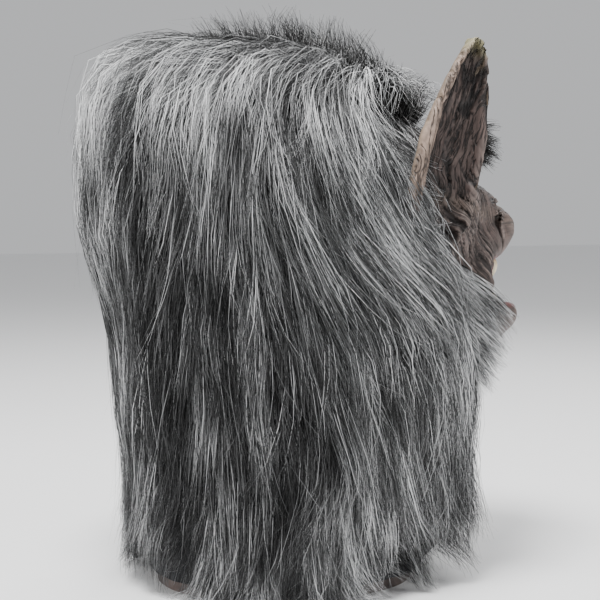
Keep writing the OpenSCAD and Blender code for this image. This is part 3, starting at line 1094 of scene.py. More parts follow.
    def paint(self, skin: SkinMesh) -> Array:
        """Return the painted colour of each vertex of the outer skin.

        Args:
            skin: The skin to work on.
        """
        p = skin.points
        x, y, z = p.T
        side = np.abs(x)
        hollow = skin.hollows(3)
        broad = skin.hollows(14)
        base = np.array([0.114, 0.080, 0.070])
        mottled = 0.9 + 0.28 * self.coarse.at(*(p.T / 22)) + 0.12 * self.fine.at(*(p.T / 6))
        colour = base * mottled[:, None]
        high = ramp(-hollow, 0.05, 0.4)[:, None]
        colour = mix(colour, np.array([0.24, 0.19, 0.17]), 0.6 * high)
        dark = np.clip(1.35 * ramp(skin.depth, 0.2, 1.4) + 1.0 * ramp(hollow, 0.06, 0.45), 0, 1)
        dark = np.clip(dark + 0.75 * ramp(broad, 0.4, 2.4), 0, 1)[:, None]
        colour = mix(colour, np.array([0.022, 0.015, 0.014]), 0.95 * dark)

        def stain(amount: Array, shade: Colour) -> None:
            """Wash a shade over the colours by an amount."""
            nonlocal colour
            colour = mix(colour, np.array(shade), np.clip(amount, 0, 1)[:, None])

        eye = 1 - ramp(self.eye.depth(p), 1.05, 2.3)
        stain(0.95 * eye, (0.018, 0.014, 0.014))
        nose = Egg((0, -176, 250), (15, 14, 13)).distance(side, y, z)
        stain(0.85 * (1 - ramp(nose, 0.5, 5.5)), (0.035, 0.027, 0.027))
        crease = Limb((21, -166, 260), 2.0, (28, -157, 246), 3.0).distance(side, y, z)
        crease = np.minimum(crease, Limb((28, -157, 246), 3.0, (25, -162, 230), 2.6).distance(side, y, z))
        stain(0.9 * (1 - ramp(crease, 0.8, 3.6)), (0.014, 0.011, 0.011))
        nostril = Egg((12.5, -185, 240), (6, 10, 7.5)).distance(side, y, z)
        stain(0.9 * (1 - ramp(nostril, -0.2, 1.4)), (0.15, 0.016, 0.013))
        mouth = Egg((0, -148, 203), (42, 50, 17), 2.8).distance(x, y, z)
        lips = (1 - ramp(np.abs(mouth), 1.5, 6)) * (1 - ramp(y, -118, -106)) * (y < 0)
        stain(0.85 * lips, (0.15, 0.03, 0.028))
        stain(0.9 * (1 - ramp(mouth, -3, 1)) * (y < -80), (0.12, 0.018, 0.018))
        ear = self.form.ear
        _, qy, qz = ear.local(side, y, z)
        s = qz / ear.height
        on_ear = ramp(s, 0.02, 0.16)
        share = qy / np.maximum(ear.half(s), 3)
        inner = ramp(skin.spread(self.facing_out(p, skin.normals()), 4), 0.0, 0.4) * on_ear
        shut = (1 - ramp(share, 0.32, 0.58)) * (1 - ramp(-share, 0.8, 1.0))
        stain(0.8 * inner * shut, (0.060, 0.041, 0.036))
        grooves = ramp(skin.depth, 0.4, 1.8) * on_ear
        stain(0.9 * grooves, (0.012, 0.01, 0.01))
        stain(0.8 * on_ear * ramp(share, 0.66, 0.9), (0.29, 0.21, 0.165))
        stain(0.6 * on_ear * (1 - inner), (0.24, 0.185, 0.135))
        stain(0.7 * ramp(s, 0.86, 0.98), (0.33, 0.31, 0.17))
        grain = 0.88 + 0.24 * self.fine.at(*(p.T / 2.3))
        return np.clip(colour * grain[:, None], 0.004, 1)

    def pieces(self, step: float, ratio: float) -> list[bpy.types.Object]:
        """Model the casting and return it as one piece for each body that it bends with.

        Args:
            step: Grid spacing of the modelling.
            ratio: Share of the triangles that are kept.
        """
        skin = self.thinned(self.opened(self.cast(step)), ratio)
        normals, colours = skin.normals(), self.paint(skin)
        inner = skin.points - self.walls(skin.points)[:, None] * normals
        inner[:, 2] = np.where(skin.points[:, 2] < 0.01, 0.0, np.maximum(inner[:, 2], 0.0))
        points = np.concatenate([skin.points, inner])
        coords, amount = self.grain(skin.points, normals)
        flap = self.walls(skin.points)[:, None] < 1.6
        inside = np.where(flap, colours, np.array([0.16, 0.131, 0.118]))
        tones = np.concatenate([colours, inside])
        amounts = np.concatenate([amount, np.zeros(len(amount))])
        tones = np.concatenate([tones, amounts[:, None]], axis=1)
        weave = np.concatenate([coords, coords])
        both = np.concatenate([normals, -normals])
        count = len(skin.points)
        rim = skin.open_edges()
        finish = LatexFinish("latex_skin", creased=True).material()
        owner = self.owners(skin)
        edge_owner = {}
        for face, who in zip(skin.faces.tolist(), owner.tolist()):
            for k in range(3):
                edge_owner[face[k], face[(k + 1) % 3]] = who
        rim_owner = np.array([edge_owner[a, b] for a, b in rim.tolist()])
        self.skin, self.normals = skin, normals
        made = []
        names = ["head_skin", "jaw_skin", "right_ear_skin", "left_ear_skin"]
        for who, name in enumerate(names):
            outer = skin.faces[owner == who]
            edges = rim[rim_owner == who]
            walls = np.stack(
                [edges[:, 1], edges[:, 0], edges[:, 0] + count, edges[:, 1] + count], axis=1
            )
            log.info("%s: %d triangles", name, 2 * len(outer) + 2 * len(walls))
            used, flat = np.unique(
                np.concatenate([outer.ravel(), (outer[:, ::-1] + count).ravel(), walls.ravel()]),
                return_inverse=True,
            )
            tris = flat[: 6 * len(outer)].reshape(-1, 3)
            quads = flat[6 * len(outer) :].reshape(-1, 4)
            piece = MeshMaker.build(
                name, points[used], [tris, quads], finish, tones[used], grain=weave[used]
            )
            piece.data.normals_split_custom_set_from_vertices(both[used].tolist())
            made.append(piece)
        return made

    def walls(self, p: Array) -> Array:
        """Return how thick the latex is at points, thinner where the ears are folded flat."""
        qx, _, qz = self.form.ear.local(np.abs(p[:, 0]), p[:, 1], p[:, 2])
        return mix(self.WALL, 0.5, ramp(qz, -8, 8) * (qx > -12))

    def owners(self, skin: SkinMesh) -> Array:
        """Return which piece each face belongs to: 0 head, 1 jaw, 2 right ear, 3 left ear.

        Args:
            skin: The skin to work on.
        """
        x, y, z = skin.middles().T
        ear = self.form.ear
        qx, _, qz = ear.local(np.abs(x), y, z)
        owner = np.zeros(len(x), int)
        owner[(qz > 4) & (qx > -8) & (x < 0)] = 2
        owner[(qz > 4) & (qx > -8) & (x > 0)] = 3
        ahead = (skin.middles() - self.MOUTH_CORNER) @ self.JAW_AXIS
        owner[(ahead > 0) & (z < 203) & (owner == 0)] = 1
        return owner

    def bend(self, made: Sequence[bpy.types.Object]) -> None:
        """Tie the head piece to its body and CAD node; bake the jaw and ears in place and hide their CAD
        nodes.

        Args:
            made: The head, the jaw and the two ears.
        """
        head, jaw, right, left = made
        tie(head, Body.HEAD, "head_shell")
        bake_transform(jaw)
        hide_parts("jaw_shell")
        ear = self.form.ear
        up = ear.axes()[:, 2]
        for piece, side, body in ((right, -1, Body.RIGHT_EAR), (left, 1, Body.LEFT_EAR)):
            ends = ((ear.root + rise * up) * (side, 1, 1) * MM for rise in self.EAR_BEND)
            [tuple(end) for end in ends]
            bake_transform(piece)
            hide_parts(body.value)


# ---------------------------------------------------------------- fur


@dataclass(frozen=True)
class StrandLook:
    """Shades and thickness of the strands of one kind of pile, and the painted shade at their roots."""

    dark: float = 0.005
    middle: float = 0.085
    light: float = 0.84
    shares: tuple[float, float] = (0.40, 0.36)
    root_w: float = 0.4
    tip_w: float = 0.10
    tint: Colour = (0.985, 0.995, 1.0)
    # Share of a strand's colour kept at its root: painted shade deep in the pile.
    root_painted_shade: float = 0.14


@dataclass
class Strands:
    """A batch of strands: their points, (n, k, 3), shades, (n,), and widths, (n,)."""

    points: Array
    shades: Array
    widths: Array

    def part(self, chosen: Array) -> "Strands":
        """Return some of the strands."""
        return Strands(self.points[chosen], self.shades[chosen], self.widths[chosen])


class StrandMesher:
    """Turns strands into thin tapered tubes of three sides."""

    LIMIT = 5400

    def __init__(self, look: StrandLook, material: bpy.types.Material) -> None:
        """Keep the look.

        Args:
            look: Shades and thickness.
            material: The finish of every strand.
        """
        self.look = look
        self.material = material
        self.noise = Noise(17)

    def build(self, name: str, strands: Strands) -> bpy.types.Object:
        """Return one piece that holds all the strands.

        Args:
            name: Name of the piece.
            strands: The strands.
        """
        p = strands.points
        n, k = p.shape[:2]
        along = np.linspace(0, 1, k)
        ahead = unit(np.gradient(p, axis=1))
        middle = p.mean(axis=(0, 1)) * (0, 0, 1)
        outward = unit(p[:, :1] - middle + 1e-6)
        side = unit(np.cross(ahead, outward))
        other = np.cross(side, ahead)
        half = 0.5 * mix(self.look.root_w, self.look.tip_w, ramp(along, 0.35, 1.0))
        half = half[None, :, None] * strands.widths[:, None, None]
        rings = []
        for turn in (90, 210, 330):
            c, s = math.cos(math.radians(turn)), math.sin(math.radians(turn))
            rings.append(p + half * (c * side + s * other))
        points = np.stack(rings, axis=2).reshape(-1, 3)
        first = np.arange(n)[:, None, None] * (3 * k)
        row = np.arange(k - 1)[None, :, None] * 3
        col = np.arange(3)[None, None, :]
        nxt = (col + 1) % 3
        a, b = first + row + col, first + row + nxt
        faces = np.stack([a, b, b + 3, a + 3], axis=-1).reshape(-1, 4)
        # Darker towards the root, a painted shade deep in the pile, and a little lighter at the tip.
        shade = strands.shades[:, None] * mix(self.look.root_painted_shade, 1.0, ramp(along, 0.0, 0.42))
        shade = shade * mix(1.0, 1.14, ramp(along, 0.6, 1.0))
        shade = shade * (1 + 0.6 * self.noise.at(p[..., 0] / 8, p[..., 1] / 8, p[..., 2] / 14))
        colours = shade.reshape(-1, 1) * np.array(self.look.tint)
        colours = np.repeat(np.clip(colours, 0.004, 0.9), 3, axis=0)
        return MeshMaker.build(
            name, points, [faces], self.material, colours, [self.strips(n, k)]
        )

    @staticmethod
    def strips(n: int, k: int) -> Array:
        """Return map corners that give each strand its own cell.

        Args:
            n: Number of strands.
            k: Points on each strand.
        """
        across = math.ceil(math.sqrt(n))
        i = np.arange(n)
        left = (i % across)[:, None, None] / across
        low = (i // across)[:, None, None] / across
        row = np.arange(k - 1)[None, :, None]
        col = np.arange(3)[None, None, :]
        u0, u1 = (left + (col + q) * 0.3 / across for q in (0.0, 1.0))
        v0, v1 = (low + (row + q) * 0.94 / (k - 1) / across for q in (0.0, 1.0))
        u0, u1, v0, v1 = np.broadcast_arrays(u0, u1, v0, v1)
        corners = [(u0, v0), (u1, v0), (u1, v1), (u0, v1)]
        return np.stack([np.stack(c, axis=-1) for c in corners], axis=-2).reshape(-1, 4, 2)


def near(points: Array, centres: Array) -> Array:
    """Return the index of the nearest centre to each point."""
    tree = KDTree(len(centres))
    for i, c in enumerate(centres.tolist()):
        tree.insert(c, i)
    tree.balance()
    return np.array([tree.find(p)[1] for p in points.tolist()], int)


def gathered(paths: Array, guides: Array, ids: Array, strength: Array, shape: float) -> Array:
    """Return paths drawn towards their guides, more and more towards the tips.

    Args:
        paths: Strand points, (n, k, 3).
        guides: Guide points, (m, k, 3).
        ids: The guide of each strand.
        strength: How far each tip is drawn, from 0 to 1.
        shape: Above 1 to draw the tips much more than the middles.
    """
    weight = np.linspace(0, 1, paths.shape[1])[None, :, None] ** shape
    return paths + (guides[ids] - paths) * weight * strength[:, None, None]


class HoodFur:
    """The long pile of the hood: where it grows, how it lies and how it gathers in locks."""

    STEPS = 6
    LOCK, SUBLOCK = 13.0, 4.2
    HEM = 0.075
    AREA = 285000.0
    STRAND_LIMITS = ((-136, -190, 1.2), (136, 160, 400))

    def __init__(self, head: HeadForm, seed: int = 5) -> None:
        """Keep the head.

        Args:
            head: The form that the pile grows on.
            seed: Picks the strands.
        """
        self.head = head
        self.hood = HoodForm(head)
        self.rng = np.random.default_rng(seed)
        self.noise = Noise(seed)
        self.other = Noise(seed + 9)

    def place(self, p: Array) -> tuple[Array, Array]:
        """Return the bearing and level of points near the head.

        Args:
            p: Points, (n, 3).
        """
        x, y, z = p[..., 0], p[..., 1], p[..., 2]
        rise = np.arcsin(np.clip((z - self.head.temple_z) / self.head.dome_h, 0, 0.9995))
        level = np.where(z < self.head.temple_z, z / self.head.temple_z, 1 + rise * 2 / math.pi)
        level = np.maximum(level, 0)
        width, front, back = self.head.girth(np.minimum(level, 1) * self.head.temple_z)
        power = self.head.power(level)
        ahead = y < 0
        sx = np.abs(x) / width
        sy = np.abs(y) / np.where(ahead, front, back)
        sine = np.where(ahead, sx ** (1 / power), sx)
        cosine = np.where(ahead, sy ** (1 / power), -sy)
        return np.degrees(np.arctan2(sine, cosine)) * np.where(x < 0, -1, 1), level

    def grows(self, a: Array, v: Array) -> Array:
        """Return which places have long pile."""
        side = np.abs(a)
        hood = (side > self.hood.face_edge(v)) | (v > self.hood.crown_edge(a))
        cheek = (side > 34) & (v < 0.80 - 0.12 * ramp(side, 54, 36))
        throat = v < 0.56
        return (hood | cheek | throat) & (v > self.HEM)

    def roots(self, count: int) -> tuple[Array, Array]:
        """Return bearings and levels spread evenly over the skin that has pile.

        Args:
            count: Most roots to return.
        """
        many = count * 6
        a = self.rng.uniform(-180, 180, many)
        v = self.rng.uniform(self.HEM, 1.99, many)
        here = self.head.point(a, v)
        da = self.head.point(a + 0.7, v) - here
        dv = self.head.point(a, np.minimum(v + 0.005, 2)) - here
        area = np.linalg.norm(np.cross(da, dv), axis=-1)
        area = area / np.quantile(area, 0.97)
        weight = area * mix(1.0, 0.55, (np.abs(a) < 54) * (v < 1))
        chosen = self.grows(a, v) & (self.rng.uniform(0, 1, many) < weight)
        index = np.flatnonzero(chosen)[:count]
        return a[index], v[index]

    def flow(self, p: Array, a: Array, v: Array, swerve: Array) -> Array:
        """Return the unit direction that the pile is combed in.

        Args:
            p: Points on the skin.
            a: Their bearings.
            v: Their levels.
            swerve: Degrees by which each strand turns off the general direction.
        """
        step = 2.0
        normal = unit(self.head.point(a, v, step) - p)
        top = ramp(p[:, 2], 285, 345)
        want = np.stack([0.12 * np.sign(p[:, 0]) * top, 0.6 * top, -np.ones(len(p))], axis=-1)
        lie = unit(want - np.sum(want * normal, axis=-1, keepdims=True) * normal)
        side = np.abs(a)
        drift = mix(10.0, 36.0, bell(v, 1.0, 0.55)) * bell(side, 82, 50)
        drift = drift * (1 - top) - 7.0 * bell(side, 165, 40)
        drift = drift + 9.0 * self.noise.at(*(p.T / 60)) + swerve
        turn = np.radians(drift) * -np.sign(a)
        across = np.cross(normal, lie)
        return unit(lie * np.cos(turn)[:, None] + across * np.sin(turn)[:, None])

    def trace(self, a: Array, v: Array, length: Array, swerve: Array) -> tuple[Array, Array, Array]:
        """Return points on the skin under each strand, with their bearings and levels.

        Args:
            a: Bearings of the roots.
            v: Levels of the roots.
            length: How far each strand runs.
            swerve: Degrees by which each strand turns off.
        """
        here = self.head.point(a, v)
        shy = 7.0 * self.other.at(a / 3, v * 6)
        spots, bearings, levels = [here], [a], [v]
        stride = length / (self.STEPS - 1)
        for _ in range(self.STEPS - 1):
            here = here + self.flow(here, a, v, swerve) * stride[:, None]
            a, v = self.place(here)
            edge = self.hood.reach_edge(v) + shy
            held = (np.abs(a) < edge) & (np.abs(bearings[0]) > 54) & (v < 1.5)
            a = np.where(held, np.sign(a) * np.maximum(np.abs(a), edge), a)
            here = self.head.point(a, v)
            spots.append(here)
            bearings.append(a)
            levels.append(v)
        return np.stack(spots, 1), np.stack(bearings, 1), np.stack(levels, 1)

    def lengths(self, a: Array, v: Array) -> Array:
        """Return how long the pile is at places on the head, before its own chance."""
        side = np.abs(a)
        long = mix(96.0, 112.0, bell(v, 0.9, 0.6))
        long = mix(long, 84.0, ramp(v, 1.35, 1.7))
        front = ramp(v, 1.3, 1.6) * (1 - ramp(side, 40, 95))
        long = mix(long, 42.0, front)
        return mix(long, 74.0, (v < 1) * (1 - ramp(side, 36, 60)))

    def paths(self, a: Array, v: Array, layer: Array, stretch: Array, swerve: Array) -> Array:
        """Return the strands' points.

        Args:
            a: Bearings of the roots.
            v: Levels of the roots.
            layer: Share of the pile's thickness that each strand rises to.
            stretch: Length of each strand as a share of the usual.
            swerve: Degrees by which each strand turns off the general direction.
        """
        length = self.lengths(a, v) * stretch
        ragged = 15.0 * self.noise.at(a / 8, 2.5) + 9.0 * self.other.at(a / 2.5, stretch * 2)
        back = ramp(np.abs(a), 128, 165)
        hem = 23.0 + 12.0 * back + 15.0 * (1 - ramp(np.abs(a), 40, 88))
        stop = np.maximum(hem + ragged - mix(6.0, -16.0, back) * layer, 4.0)
        spots, _, _ = self.trace(a, v, length, swerve)
        low = spots[:, -1, 2]
        high = spots[:, 0, 2]
        over = low < stop
        share = np.where(over, (high - stop) / np.maximum(high - low, 1), 1.0)
        length = np.maximum(length * np.clip(share, 0.0, 1), 6)
        spots, bearings, levels = self.trace(a, v, length, swerve)
        along = np.linspace(0, 1, self.STEPS)[None] * length[:, None]
        rise = 1 - np.exp(-along / mix(13.0, 20.0, layer)[:, None])
        grow = self.hood.pile(bearings, levels) * layer[:, None] * rise * 1.04
        droop = 0.10 * grow * ramp(along / length[:, None], 0.55, 1.0)
        points = self.head.point(bearings, levels, grow - droop)
        points[..., 2] = np.maximum(points[..., 2], 1.5 + 3 * layer[:, None])
        return points

    def shades(self, a: Array, v: Array, layer: Array, ids: Array, look: StrandLook) -> Array:
        """Return the colour of each strand from where it grows and its lock. It carries painted light: a
        painted highlight along the fur's front edge, a lighter upper hood that is partly painted light
        from above, and painted shade on strands low in the pile.

        Args:
            a: Bearings in degrees.
            v: Levels.
            layer: Share of the thickness that each strand rises to.
            ids: The lock of each strand.
            look: Shades and thickness of the strands.
        """
        n = len(a)
        lock = self.rng.normal(0, 1, ids.max() + 1)[ids]
        streak = self.noise.at(a / 5.5, v * 1.3, 4.5) + 0.6 * self.other.at(a / 2.2, v * 1.9, 8.5)
        side = np.abs(a)
        # Brighter band along the front edge of the side fur: a painted highlight.
        rim = bell(side, self.hood.face_edge(v) + 4, 8) * ramp(v, 0.3, 0.8) * (v < 1.6)
        # Lighter high on the hood: partly lighter fur, partly painted light from above.
        tone_and_painted_light = 1.5 * rim + 0.35 * ramp(v, 0.9, 1.3) + 2.0 * bell(v, 1.62, 0.27)
        # Darker at the very top of the crown; strands low in the pile are darker, a painted shade under
        # the upper strands.
        tone_and_painted_light = tone_and_painted_light - 2.0 * ramp(v, 1.80, 1.93) - 1.5 * (1 - ramp(layer, 0.35, 0.85))
        score = self.rng.normal(0, 0.8, n) + 1.3 * lock + 1.8 * streak + tone_and_painted_light
        level = np.argsort(np.argsort(score)) / n
        dark, rest = look.shares
        bright = np.clip((level - dark - rest) / (1 - dark - rest), 0, 1) ** 1.4
        shade = np.where(
            level < dark,
            mix(look.dark, look.middle * 0.6, level / dark),
            np.where(
                level < dark + rest,
                mix(look.middle * 0.6, look.middle * 1.9, (level - dark) / rest),
                mix(look.middle * 1.9, look.light, bright),
            ),
        )
        return shade * self.rng.uniform(0.82, 1.18, n)

    def grow(self, count: int, look: StrandLook) -> tuple[Strands, Array, Array]:
        """Return the strands of the whole hood with the bearings and levels of their roots.

        Args:
            count: How many strands.
            look: Shades and thickness of the strands.
        """
        a, v = self.roots(count)
        n = len(a)
        skin = self.head.point(a, v)
        layer = 0.30 + 0.70 * self.rng.uniform(0, 1, n) ** 0.75
        stretch = self.rng.normal(1.0, 0.10, n)
        swerve = self.rng.normal(0, 4.5, n)
        wild = self.rng.uniform(0, 1, n) < 0.015
        swerve = np.where(wild, self.rng.normal(0, 15, n), swerve)
        own = self.paths(a, v, layer, stretch, swerve)
        tiers = []
        for size in (self.LOCK, self.SUBLOCK):
            m = int(self.AREA / size**2)
            pick = self.rng.choice(n, m, replace=False)
            ids = near(skin, skin[pick])
            tiers.append((pick, ids))
        (lock_pick, lock_ids), (sub_pick, sub_ids) = tiers
        lock_layer = 0.45 + 0.55 * self.rng.uniform(0, 1, len(lock_pick))
        lock_paths = self.paths(
            a[lock_pick], v[lock_pick], lock_layer,
            self.rng.normal(1.02, 0.08, len(lock_pick)), self.rng.normal(0, 9, len(lock_pick)),
        )
        sub_lock = lock_ids[sub_pick]
        sub_layer = 0.40 + 0.6 * self.rng.uniform(0, 1, len(sub_pick)) ** 0.8
        sub_paths = self.paths(
            a[sub_pick], v[sub_pick], sub_layer,
            self.rng.normal(1.0, 0.09, len(sub_pick)), self.rng.normal(0, 7, len(sub_pick)),
        )
        sub_paths = gathered(
            sub_paths, lock_paths, sub_lock, self.rng.uniform(0.45, 0.95, len(sub_pick)), 1.4
        )
        hold = np.where(wild, 0.0, self.rng.uniform(0.55, 0.98, n))
        final = gathered(own, sub_paths, sub_ids, hold, 1.25)
        bend = np.linspace(0, 1, self.STEPS)[None, :, None] ** 2
        shake = self.rng.normal(0, 1, (n, 1, 3)) * np.where(wild, 9.0, 2.2)[:, None, None]
        final = final + bend * shake
        final[..., 0] += 1.8 * self.noise.at(*(final[..., k] / 44 for k in range(3)))
        final[..., 1] += 1.8 * self.other.at(*(final[..., k] / 44 for k in range(3)))
        final = np.clip(final, *self.STRAND_LIMITS)
        shades = self.shades(a, v, layer, sub_ids, look)
        shades = np.where(wild, np.clip(shades, look.middle, 0.3), shades)
        widths = np.where(wild, 0.5, self.rng.uniform(0.75, 1.2, n))
        return Strands(final, shades, widths), a, v


@dataclass(frozen=True)
class Panel:
    """One glued panel of fur: its CAD node, the places that it covers and its backing's sides."""

    node: str
    slot: Slot
    holds: Callable[[Array, Array], Array]
    sides: tuple[float, float]
    top: float


class HoodPanels:
    """Splits the hood's pile into the panels that the mask is glued up from."""

    THROAT_A, SIDE_A, BACK_A = 34.0, 54.0, 138.0
    CHEEK_TOP = 0.82
    KNIT_LOW = 0.035

    def __init__(self, fur: HoodFur) -> None:
        """Lay out the panels.

        Args:
            fur: The pile to be split.
        """
        self.fur = fur
        self.panels = (
            Panel("crown_fur", Slot.GREY_FUR, self.crown, (-180, 180), 1.95),
            Panel("back_fur", Slot.GREY_FUR, self.back, (138.8, 221.2), 1.35),
            Panel("right_side_fur", Slot.GREY_FUR, self.flank(-1), (-138, -54), 1.35),
            Panel("left_side_fur", Slot.GREY_FUR, self.flank(1), (54, 138), 1.35),
            Panel("throat_fur", Slot.PALE_FUR, self.throat, (-34, 34), 0.36),
            Panel("right_cheek_fur", Slot.PALE_FUR, self.cheek(-1), (-53.2, -35), 0.74),
            Panel("left_cheek_fur", Slot.PALE_FUR, self.cheek(1), (35, 53.2), 0.74),
        )

    def crown(self, a: Array, v: Array) -> Array:
        """Return which places the crown panel covers."""
        return v >= self.fur.hood.crown_edge(a)

    def back(self, a: Array, v: Array) -> Array:
        """Return which places the back panel covers."""
        return ~self.crown(a, v) & (np.abs(a) >= self.BACK_A)

    def front(self, a: Array, v: Array) -> Array:
        """Return which places lie below the face."""
        return ~self.crown(a, v) & (np.abs(a) < self.SIDE_A) & (v <= self.CHEEK_TOP)

    def throat(self, a: Array, v: Array) -> Array:
        """Return which places the throat panel covers."""
        return self.front(a, v) & (np.abs(a) < self.THROAT_A)

    def flank(self, side: int) -> Callable[[Array, Array], Array]:
        """Return the test for the side panel; side is -1 on the wearer's right."""

        def holds(a: Array, v: Array) -> Array:
            """Return which places the panel covers."""
            low = ~self.crown(a, v) & ~self.back(a, v)
            return low & ~self.front(a, v) & ((a < 0) == (side < 0))

        return holds

    def cheek(self, side: int) -> Callable[[Array, Array], Array]:
        """Return the test for the cheek panel; side is -1 on the wearer's right."""

        def holds(a: Array, v: Array) -> Array:
            """Return which places the panel covers."""
            return self.front(a, v) & (a * side >= self.THROAT_A)

        return holds

    def build(self, count: int) -> None:
        """Make every panel's backing and strands, tied to the head's body.

        Args:
            count: Number of strands on the hood.
        """
        look = StrandLook()
        strands, a, v = self.fur.grow(count, look)
        mesher = StrandMesher(look, FurFinish("pile").material())
        knit = KnitFinish("knit", (0.03, 0.031, 0.034)).material()
        total = 0
        for panel in self.panels:
            backing = self.backing(panel, knit)
            tie(backing, Body.HEAD, panel.node)
            chosen = np.flatnonzero(panel.holds(a, v))
            total += len(chosen)
            parts = max(1, math.ceil(len(chosen) / mesher.LIMIT))
            for k, part in enumerate(np.array_split(chosen, parts)):
                piece = mesher.build(f"{panel.node}_{k + 1}", strands.part(part))
                tie(piece, Body.HEAD, panel.node)
        log.info("hood strands: %d", total)

    def backing(self, panel: Panel, material: bpy.types.Material) -> bpy.types.Object:
        """Return the dark underfur of a panel, a closed sheet well inside its pile.

        Args:
            panel: The panel.
            material: The finish.
        """
        whole = panel.node == "crown_fur"
        rows, cols = 40, (120 if whole else 44)
        t, s = np.meshgrid(np.linspace(0, 1, rows), np.linspace(0, 1, cols), indexing="ij")
        hood = self.fur.hood
        if whole:
            a = -180 + 360 * s * (cols - 1) / cols
            v = mix(hood.crown_edge(a), 1.985, t)
        else:
            a = mix(*panel.sides, s)
            v = mix(self.KNIT_LOW, panel.top, t)
            if "side" in panel.node:
                near_face = np.abs(a) < 100
                edge = hood.face_edge(v)
                share = (np.abs(a) - self.SIDE_A) / (self.BACK_A - self.SIDE_A)
                a = np.sign(a) * mix(edge, self.BACK_A, share)
                top = hood.crown_edge(a) - 0.012
                v = mix(self.KNIT_LOW, top, t)
                a = np.where(near_face, np.sign(a) * np.maximum(np.abs(a), hood.face_edge(v)), a)
        wrapped = (a + 180) % 360 - 180
        rim = np.minimum(t, 1 - t) if not whole else t
        rim = np.minimum(rim * 7, 1)
        if not whole:
            rim = rim * np.minimum(np.minimum(s, 1 - s) * 7, 1)
        lump = 0.9 + 0.25 * self.fur.noise.at(a / 5, v * 2.0)
        thick = hood.pile(wrapped, v) * 0.40 * lump * (0.25 + 0.75 * ease(rim))
        outer = self.fur.head.point(a, v, 1.2 + thick).reshape(-1, 3)
        inner = self.fur.head.point(a, v, np.full(a.shape, 0.9)).reshape(-1, 3)
        n = rows * cols
        out = MeshMaker.grid_faces(rows, cols, whole)
        points = np.concatenate([outer, inner])
        faces = [out, out[:, ::-1] + n]
        ring = np.arange(cols)
        after = (ring + 1) % cols
        if not whole:
            ring, after = ring[:-1], after[:-1]
        for row, flip in ((0, False), (rows - 1, True)):
            p, q = row * cols + ring, row * cols + after
            wall = np.stack([q, p, p + n, q + n], axis=1)
            faces.append(wall[:, ::-1] if flip else wall)
        if not whole:
            column = np.arange(rows - 1) * cols
            for col, flip in ((0, False), (cols - 1, True)):
                p, q = column + col, column + cols + col
                wall = np.stack([p, q, q + n, p + n], axis=1)
                faces.append(wall[:, ::-1] if flip else wall)
        return MeshMaker.build(panel.node + "_knit", points, faces, material)


@dataclass(frozen=True)
class Lay:
    """How the hairs of a tuft lie, and how far they spread, clump and droop."""

    along: tuple[float, float, float]
    spread: float
    clump: float
    droop: float


@dataclass(frozen=True)
class Tuft:
    """A patch of short or hanging hair on the sculpted skin."""

    name: str
    node: str
    body: Body
    slot: Slot
    count: int
    length: tuple[float, float]
    lay: Lay
    look: StrandLook
    grows: Callable[[Array, Array], Array]


class TuftMaker:
    """Plants tufts on the sculpted skin."""

    STEPS = 7

    def __init__(self, points: Array, normals: Array, faces: Array, seed: int = 21) -> None:
        """Keep the skin.

        Args:
            points: The skin's vertices.
            normals: Their outward normals.
            faces: Its triangles.
            seed: Picks the hairs.
        """
        self.points, self.normals, self.faces = points, normals, faces
        self.rng = np.random.default_rng(seed)

    def plant(self, tuft: Tuft, material: bpy.types.Material) -> bpy.types.Object:
        """Return one tuft, tied to its body.

        Args:
            tuft: What to plant.
            material: The finish.
        """
        middle = self.points[self.faces].mean(axis=1)
        facing = self.normals[self.faces].mean(axis=1)
        chosen = np.flatnonzero(tuft.grows(middle, facing))
        corners = self.points[self.faces[chosen]]
        area = np.linalg.norm(
            np.cross(corners[:, 1] - corners[:, 0], corners[:, 2] - corners[:, 0]), axis=1
        )
        pick = self.rng.choice(len(chosen), tuft.count, p=area / area.sum())
        r1, r2 = self.rng.uniform(0, 1, (2, tuft.count, 1))
        flip = r1 + r2 > 1
        r1, r2 = np.where(flip, 1 - r1, r1), np.where(flip, 1 - r2, r2)
        c = corners[pick]
        root = c[:, 0] + r1 * (c[:, 1] - c[:, 0]) + r2 * (c[:, 2] - c[:, 0])
        normal = unit(facing[chosen][pick])
        lie = np.array(tuft.lay.along) * np.where(root[:, :1] < 0, (-1, 1, 1), (1, 1, 1))
        aim = unit(lie + self.rng.normal(0, tuft.lay.spread, (tuft.count, 3)))
        start = unit(0.75 * normal + aim)
        length = self.rng.uniform(*tuft.length, tuft.count)
        t = np.linspace(0, 1, self.STEPS)
        heading = start[:, None] * (1 - t)[None, :, None] + aim[:, None] * t[None, :, None]
        heading[..., 2] -= tuft.lay.droop * t[None]
        stride = unit(heading) * (length / (self.STEPS - 1))[:, None, None]
        paths = root[:, None] + np.concatenate(
            [np.zeros((tuft.count, 1, 3)), np.cumsum(stride[:, 1:], axis=1)], axis=1
        )
        locks = max(8, tuft.count // 16)
        guide = self.rng.choice(tuft.count, locks, replace=False)
        ids = near(root, root[guide])
        hold = self.rng.uniform(0.4, 1.0, tuft.count) * tuft.lay.clump
        paths = gathered(paths, paths[guide], ids, hold, 1.2)
        look = tuft.look
        kind = self.rng.uniform(0, 1, tuft.count)
        shades = np.where(kind < look.shares[0], look.dark, np.where(
            kind < sum(look.shares), look.middle, look.light))
        shades = shades * self.rng.uniform(0.7, 1.3, tuft.count)
        piece = StrandMesher(look, material).build(
            tuft.name, Strands(paths, shades, self.rng.uniform(0.75, 1.2, tuft.count))
        )
        tie(piece, tuft.body, tuft.node)
        return piece


# ---------------------------------------------------------------- the mouth


